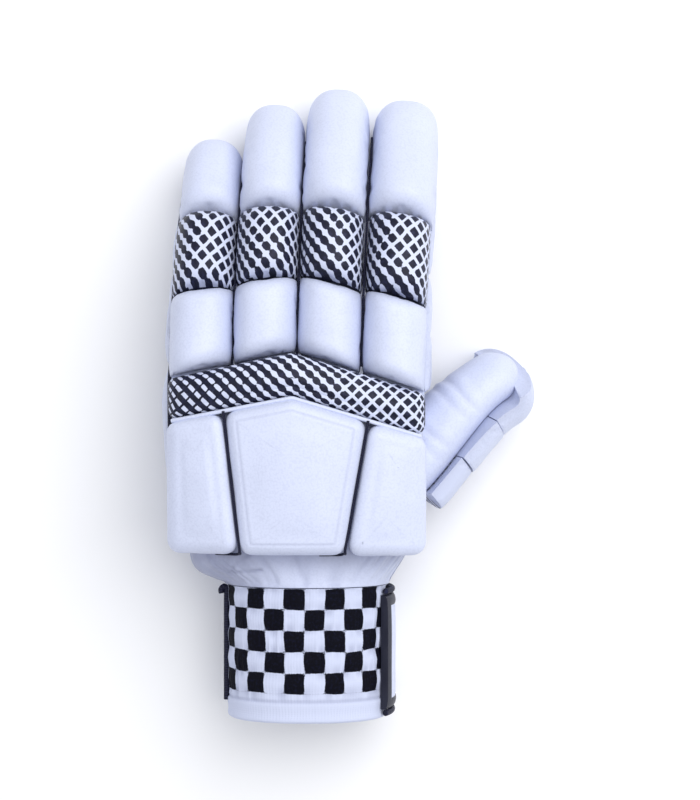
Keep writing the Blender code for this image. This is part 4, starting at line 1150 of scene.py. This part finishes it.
def pad(name, corners, spine, crown, lower=0.0, corner=PAD_CORNER, edge=PAD_EDGE, groove=None, join=None):
    """A padded block over the back of the hand, crowned, with soft edges, a sewn channel, and painted shade
    down its walls, at its foot and in the channel.
    """
    outline = rounded_outline([vec(*c) for c in corners], corner, 1.1 * MM)
    rings, marks = [], []

    def add(ring, z, mark):
        rings.append(joined(ring[:, 0], ring[:, 1], z))
        marks.append(mark + np.zeros(len(ring)))

    def level(ring, drop):
        return back_top(ring[:, 0], ring[:, 1]) - lower - drop

    def channel(away):
        return bell(away - groove, 0.45 * MM) if groove else 0.0

    # The marks below are painted shade: darkest at the pad's foot, fading up its wall, and in the sewn
    # channel.
    foot = hand_section(outline[:, 1])[1] + PAD_SKIRT
    add(inset(outline, 5 * MM), foot, 0.9)
    for share in np.linspace(0, 1, WALL_ROWS)[:-1]:
        belly = 1.5 * MM * (1 - math.sin(math.pi * (0.15 + 0.85 * share) * 0.62)) + 0.1 * MM
        ring = inset(outline, belly)
        add(ring, blend(foot, level(ring, edge), share), 0.75 * (1 - share) ** 2)
    for share in np.linspace(0, 1, EDGE_ROWS):
        angle = share * math.pi / 2
        away = edge * (1 - math.cos(angle))
        ring = inset(outline, away + 0.1 * MM)
        dip = channel(away)
        add(ring, level(ring, edge * (1 - math.sin(angle)) + 0.4 * MM * dip), 0.6 * dip)
    flat = inset(outline, edge)
    low, high = flat.min(0), flat.max(0)
    middle = nearest_on([vec(*s) for s in spine], flat)
    for share in np.linspace(0, 1, TOP_ROWS)[1:]:
        ring = blend(flat, middle, share)
        dip = channel(np.linalg.norm(ring - flat, axis=1) + edge)
        if join is None:
            across = np.clip(1 - ((2 * ring - low - high) / (high - low)) ** 2, 0, 1)
            rise = across.prod(1) * smooth(share * 2)
        else:
            rise = 1 - (1 - share) ** 2
        add(ring, level(ring, 0.4 * MM * dip) + crown * rise, 0.6 * dip)
    solid = np.array(rings)
    out = -ring_normals(solid)
    number = np.arange(len(solid))
    fixed = smooth((number - 1) / 4)[:, None]
    lumps = noise(solid, 17 * MM, 21) * 0.35 * MM + noise(solid, 7 * MM, 22) * 0.10 * MM
    wave = noise(solid * vec(1, 1, 0.25), 5 * MM, 23) * np.exp(-number / 9)[:, None] * 0.35 * MM
    solid[..., 2] += lumps * fixed
    wavy = slice(1, WALL_ROWS + 10)
    solid[wavy, :, :2] += (out * (wave * fixed)[..., None])[wavy, :, :2]
    uv = solid[..., :2] / MM
    kinds = {"crease": np.clip(np.array(marks), 0, 1)}
    finish, slot = white_leather, "white_leather"
    if join is not None:
        finish, slot = net, "net_fabric"
        kinds["join"] = join(solid)
        kinds["rim"] = (BACK_WIDTH / 2 - np.abs(solid[..., 0])) / MM
        kinds["rim"][:WALL_ROWS + 2] = NO_RIM
        kinds["bare"] = np.zeros(solid.shape[:2])
        fall = np.maximum(0, level(solid[0, :, :2], 0.0)[None] - solid[..., 2])
        uv = uv + unit(solid[..., :2] - middle[None]) * (fall / MM)[..., None] * 0.9
    columns = solid.shape[1]
    faces = quads(len(solid), columns, closed=True)[:, ::-1].tolist() + [list(range(columns))]
    piece = make_piece(name + "_cover", solid, faces, finish, uv=uv, marks=kinds, weld=True, slot=slot,
                       stands_for=[name])


def drop(path, deep):
    """A path given from above, laid below the pads' top."""
    return np.array([(x, y, back_top(x, y) - deep) for x, y in path])


def leather_top(x):
    """The height of the hand's leather at the lower edge of the back pads."""
    middle, z, half_width, half_depth, power = hand_section(0.0)
    return z + half_depth * (1 - (abs(x - middle) / half_width) ** power) ** (1 / power)


def make_pads():
    side = BACK_WIDTH / 2
    g = SEAM_GAP / 2
    top, foot = CENTRE_PAD_TOP_WIDTH / 2, CENTRE_PAD_FOOT_WIDTH / 2
    low = [(x, seam_y("band_low", x)) for x in (-side, -top, PEAK_X, top, side)]
    high = [(x, seam_y("band_high", x)) for x in (-side, PEAK_X, side)]
    left, right = PEAK_X - foot, PEAK_X + foot
    pad("pad_centre",
        [(left + g, 0), (right - g, 0), (low[3][0] - g, low[3][1] - g), (low[2][0], low[2][1] - g),
         (low[1][0] + g, low[1][1] - g)],
        [(PEAK_X, 18 * MM), (PEAK_X, 40 * MM)], 1.3 * MM, groove=4.7 * MM)
    pad("pad_outer",
        [(low[0][0], g), (left - g, g), (low[1][0] - g, low[1][1] - g), (low[0][0], low[0][1] - g)],
        [((low[0][0] + left) / 2, 16 * MM), ((low[0][0] + low[1][0]) / 2, low[0][1] - 13 * MM)], 1.2 * MM)
    pad("pad_inner",
        [(right + g, -2 * g), (low[4][0], -2 * g), (low[4][0], low[4][1] - g),
         (low[3][0] + g, low[3][1] - g)],
        [((low[4][0] + right) / 2, 16 * MM), ((low[4][0] + low[3][0]) / 2, low[4][1] - 12 * MM)], 1.2 * MM)
    half = (BAND_HIGH_Y - BAND_LOW_Y) / 2
    spine = [(-side + half, seam_y("band_low", -side + half) + half), (PEAK_X, BAND_LOW_Y + half - 1 * MM),
             (side - half, seam_y("band_low", side - half) + half)]
    pad("knuckle_band",
        [(low[0][0] + g, low[0][1] + g), (low[2][0], low[2][1] + g), (low[4][0] - g, low[4][1] + g),
         (high[2][0] - g, high[2][1] - g), (high[1][0], high[1][1] - g), (high[0][0] + g, high[0][1] - g)],
        spine, 1.6 * MM, lower=(BACK_TOP - KNUCKLE_Z - KNUCKLE_DEPTH / 2) * BAND_STEP, corner=BAND_CORNER,
        edge=BAND_EDGE, join=net_join(-52 * MM, 26 * MM))
    for name, start, end in (("outer", left, low[1]), ("inner", right, low[3])):
        line = [blend(vec(start, 3 * MM), vec(*end), k / 6) for k in range(7)]
        # The hook carries the dark piping on under the pad's bottom corner: partly the piping there and
        # partly a painted shadow at the pad's foot.
        hook = [(start - away, -0.5 * MM, leather_top(start - away) + 2.5 * MM)
                for away in (11 * MM, 8 * MM, 5 * MM, 2 * MM)]
        hook.append((start - 0.3 * MM, 0.2 * MM, leather_top(start) + 5 * MM))
        hook.append((start, 0.7 * MM, back_top(start, 0.0) - 5 * MM))
        tube("pad_piping_" + name, spline([*hook, *drop(line, 3.2 * MM)], 130), PAD_PIPING, sides=8)
    path = drop([(x, seam_y("band_low", x)) for x in np.linspace(-52 * MM, 52 * MM, 105)], 4.2 * MM)
    tube("band_piping", path, BAND_PIPING, sides=8, finish=white_leather, slot="white_leather")


make_pads()


# The strap and the pipings

STRAP_RUN = abs(STRAP_START - STRAP_END) * (CUFF_WIDTH + CUFF_DEPTH) / 4
STRAP_STRAIGHT = STRAP_RUN - STRAP_ROUND


def strap_half_width(run, grow=0.0):
    """Half the strap's width, or that of a line that keeps outside or inside its edge."""
    past = np.clip((run - STRAP_RUN + STRAP_ROUND) / (STRAP_ROUND + grow), 0, 1)
    return (STRAP_WIDTH / 2 + grow) * (1 - past**STRAP_END_POWER) ** (1 / STRAP_END_POWER)


def strap_point(run, across, grow, floor):
    angle = blend(STRAP_START, STRAP_END, run / STRAP_RUN)
    return cuff_point(WRIST_Y - CUFF_LENGTH / 2 + across, angle, grow, floor)


def make_strap():
    rounded = STRAP_ROUND * np.sin(np.radians(np.linspace(0, 88, 44)))
    run = np.concatenate([np.linspace(0, STRAP_STRAIGHT, 90)[:-1], STRAP_STRAIGHT + rounded])[:, None]
    share = np.linspace(1, -1, 61)[None, :]
    half = strap_half_width(run)
    puff = blend(0.55, 1.0, np.clip(1 - np.abs(share) ** 10, 0, 1) ** 0.5)
    uneven = noise(strap_point(run, half * share, 0, 0), 15 * MM, 31) * 0.15 * MM
    within = np.minimum(strap_half_width(run, -BINDING) - np.abs(half * share), run - BINDING) / MM
    raised = 0.35 * MM * smooth(-within / 0.7) - 0.3 * MM * bell(within, 0.5)
    raised = raised * smooth((1 - np.abs(share)) * half / (2 * MM))
    over = strap_point(run, half * share, GAP + STRAP_THICKNESS * puff + uneven + raised, 0.0)
    over[..., 2] = np.maximum(over[..., 2], STRAP_THICKNESS * (1 - puff))
    under = strap_point(run, half * share[:, ::-4], GAP, STRAP_THICKNESS)
    uv = joined(half * share, run) / MM
    uv = np.concatenate([uv, np.repeat(uv[:, -1:], under.shape[1], 1)], 1)
    # Painted shade where the strap's edges fall away.
    seam = 0.4 * (1 - puff) / 0.45 + 0 * run
    marks = {"crease": np.concatenate([seam, np.zeros(under.shape[:2])], 1),
             "within": np.concatenate([within, np.full(under.shape[:2], -5.0)], 1)}
    ring_piece("strap_face", np.concatenate([over, under], 1), strap_leather, uv=uv, marks=marks,
               slot="white_leather", stands_for=["strap"])


def make_pipings():
    """The dark cords: round the strap, down the cuff's seam and down the little finger's side."""
    beside = PIPING_RADIUS + GAP
    rounded = (STRAP_ROUND + beside) * np.sin(np.radians(np.linspace(0, 90, 40)[1:]))
    run = np.concatenate([np.linspace(0.02 * STRAP_STRAIGHT, STRAP_STRAIGHT, 60), STRAP_STRAIGHT + rounded])
    half = strap_half_width(run, beside)
    deep = STRAP_THICKNESS / 2
    go, back = (strap_point(run, side * half, GAP + deep, deep) for side in (1, -1))
    path = even_points(np.concatenate([go[:-1], back[::-1]]), 260)
    tube("strap_piping_cord", path, PIPING_RADIUS, stands_for=["strap_piping"])
    y = np.linspace(WRIST_Y - 1.7 * MM, WRIST_Y - CUFF_LENGTH + 3.4 * MM, 60)
    line = cuff_point(y, math.radians(172), 0.3 * MM, 0.0)
    hook = line[0] + vec((-2.2, -2.4, 0), (-2.4, -0.7, 0), (-1.1, 0.5, 0)) * MM
    tube("cuff_piping_cord", spline([*hook, *line[1::6]], 150), PIPING_RADIUS, stands_for=["cuff_piping"])
    clear = -0.5 * MM
    stall = STALLS["little"]
    side = -max(BACK_WIDTH / 2, float(hand_section(KNUCKLE_Y)[2])) - clear
    above = PAD_SKIRT - 0.4 * MM
    beside_pads = blend(PAD_CORNER / 2, KNUCKLE_Y, np.arange(7) / 7)
    path = [vec(side, y, hand_section(y)[1] + above) for y in beside_pads]
    for distance in stall.length * np.arange(13) / 12:
        centre, across, out, _ = stall.at(distance)
        point = centre - across * ((FINGER_PITCH - SEAM_GAP) / 2 + clear) + out * above
        if point[1] < seam_y("band_high", -BACK_WIDTH / 2):
            point[0] = min(point[0], side)
        path.append(point)
    tube("side_piping_cord", spline(path, 240), SIDE_PIPING, stands_for=["side_piping"])


def finger_gap_shade_pipings():
    """Thin dark cords deep between neighbouring fingers, which show as lines from above: partly the piping
    there and partly a painted shadow of the gap.
    """
    names = [row[0] for row in FINGERS]
    for left, right in zip(names, names[1:]):
        a, b = STALLS[left], STALLS[right]
        start = a.distance_at_y(BAND_HIGH_Y - 6 * MM, FINGER_RADIUS)
        distance = np.linspace(start, min(a.length, b.length) * 0.97, 120)
        one, two = a.at(distance), b.at(distance)
        rise = FINGER_RADIUS + 4.0 * MM
        path = (one[0] + one[2] * rise + two[0] + two[2] * rise) / 2
        tube(f"gap_piping_{left}_{right}", path, GAP_PIPING, sides=8)


def sew():
    """The stitches that show: zigzags on the side bars and the thumb, and the cuff's hem."""
    tip = covers["thumb_pad_tip"]
    rows = [(name, covers[name], (slice(4, -4), 8), 2.6 * MM, 0.28 * MM)
            for name in ("bar_low_little", "bar_mid_little", "bar_high_little")]
    rows.append(("thumb_pad_tip", tip, (7, slice(tip.grid.shape[1] * 2 // 5, -8)), 2.4 * MM, 0.3 * MM))
    for name, c, row, length, radius in rows:
        up = c.normals[row]
        stitches("stitch_" + name, c.grid[row] + up * 0.1 * MM, up, length, 0.1 * MM, radius, navy_thread,
                 "navy_piping", swing=ZIGZAG)
    line = skin_line(PALM_SEAM, -1, 1.6 * MM)
    stitches("stitch_palm_patch", line, 0 * line + vec(0, 0, -1), LONG_STITCH, LONG_GAP, 0.25 * MM,
             white_thread, "palm_leather")
    y = WRIST_Y - CUFF_LENGTH + HEM - 1.0 * MM
    path = cuff_point(y, cuff_angles(300)[0], -0.55 * MM, CUFF_FLOOR)
    stitches("stitch_cuff_hem", path, path - (WRIST_X, y, CUFF_CENTRE_Z), LONG_STITCH, LONG_GAP, 0.3 * MM,
             white_thread, "cuff_fabric")


make_strap()
make_pipings()
finger_gap_shade_pipings()
sew()


# Floor, lights and camera

def add_light(name, place, energy, size):
    """A square light that points at the glove."""
    light = bpy.data.lights.new(name, "AREA")
    light.energy = energy
    light.size = size
    lamp = bpy.data.objects.new(name, light)
    bpy.context.scene.collection.objects.link(lamp)
    lamp.location = place
    lamp.rotation_mode = "QUATERNION"
    lamp.rotation_quaternion = (Vector(LIGHT_AIM) - Vector(place)).to_track_quat("-Z", "Y")


def make_stage():
    mesh = bpy.data.meshes.new("floor")
    corners = [(x * FLOOR_HALF, y * FLOOR_HALF, 0) for x, y in ((-1, -1), (1, -1), (1, 1), (-1, 1))]
    mesh.from_pydata(corners, [], [(0, 1, 2, 3)])
    floor = bpy.data.objects.new("floor", mesh)
    bpy.context.scene.collection.objects.link(floor)
    mesh.materials.append(Finish("floor", Specular_IOR_Level=0.1).done(FLOOR, 0.9))
    world = bpy.data.worlds.new("world")
    bpy.context.scene.world = world
    world.use_nodes = True
    sky = world.node_tree.nodes["Background"]
    sky.inputs[0].default_value = SKY
    sky.inputs[1].default_value = SKY_STRENGTH
    for light in LIGHTS:
        add_light(*light)


def make_camera():
    """Straight above, with the glove's length at four fifths of the frame."""
    low, high = cad_box
    middle = (low + high) / 2
    camera = bpy.data.cameras.new("camera")
    camera.lens = LENS
    camera.sensor_width = SENSOR
    camera.clip_start, camera.clip_end = 0.01, 20.0
    distance = (high.y - low.y) / GLOVE_IN_VIEW * LENS / SENSOR
    eye = bpy.data.objects.new("camera", camera)
    bpy.context.scene.collection.objects.link(eye)
    eye.location = (middle.x, middle.y, high.z * 0.6 + distance)
    bpy.context.scene.camera = eye


make_stage()
make_camera()
bpy.context.scene.view_settings.view_transform = "Standard"
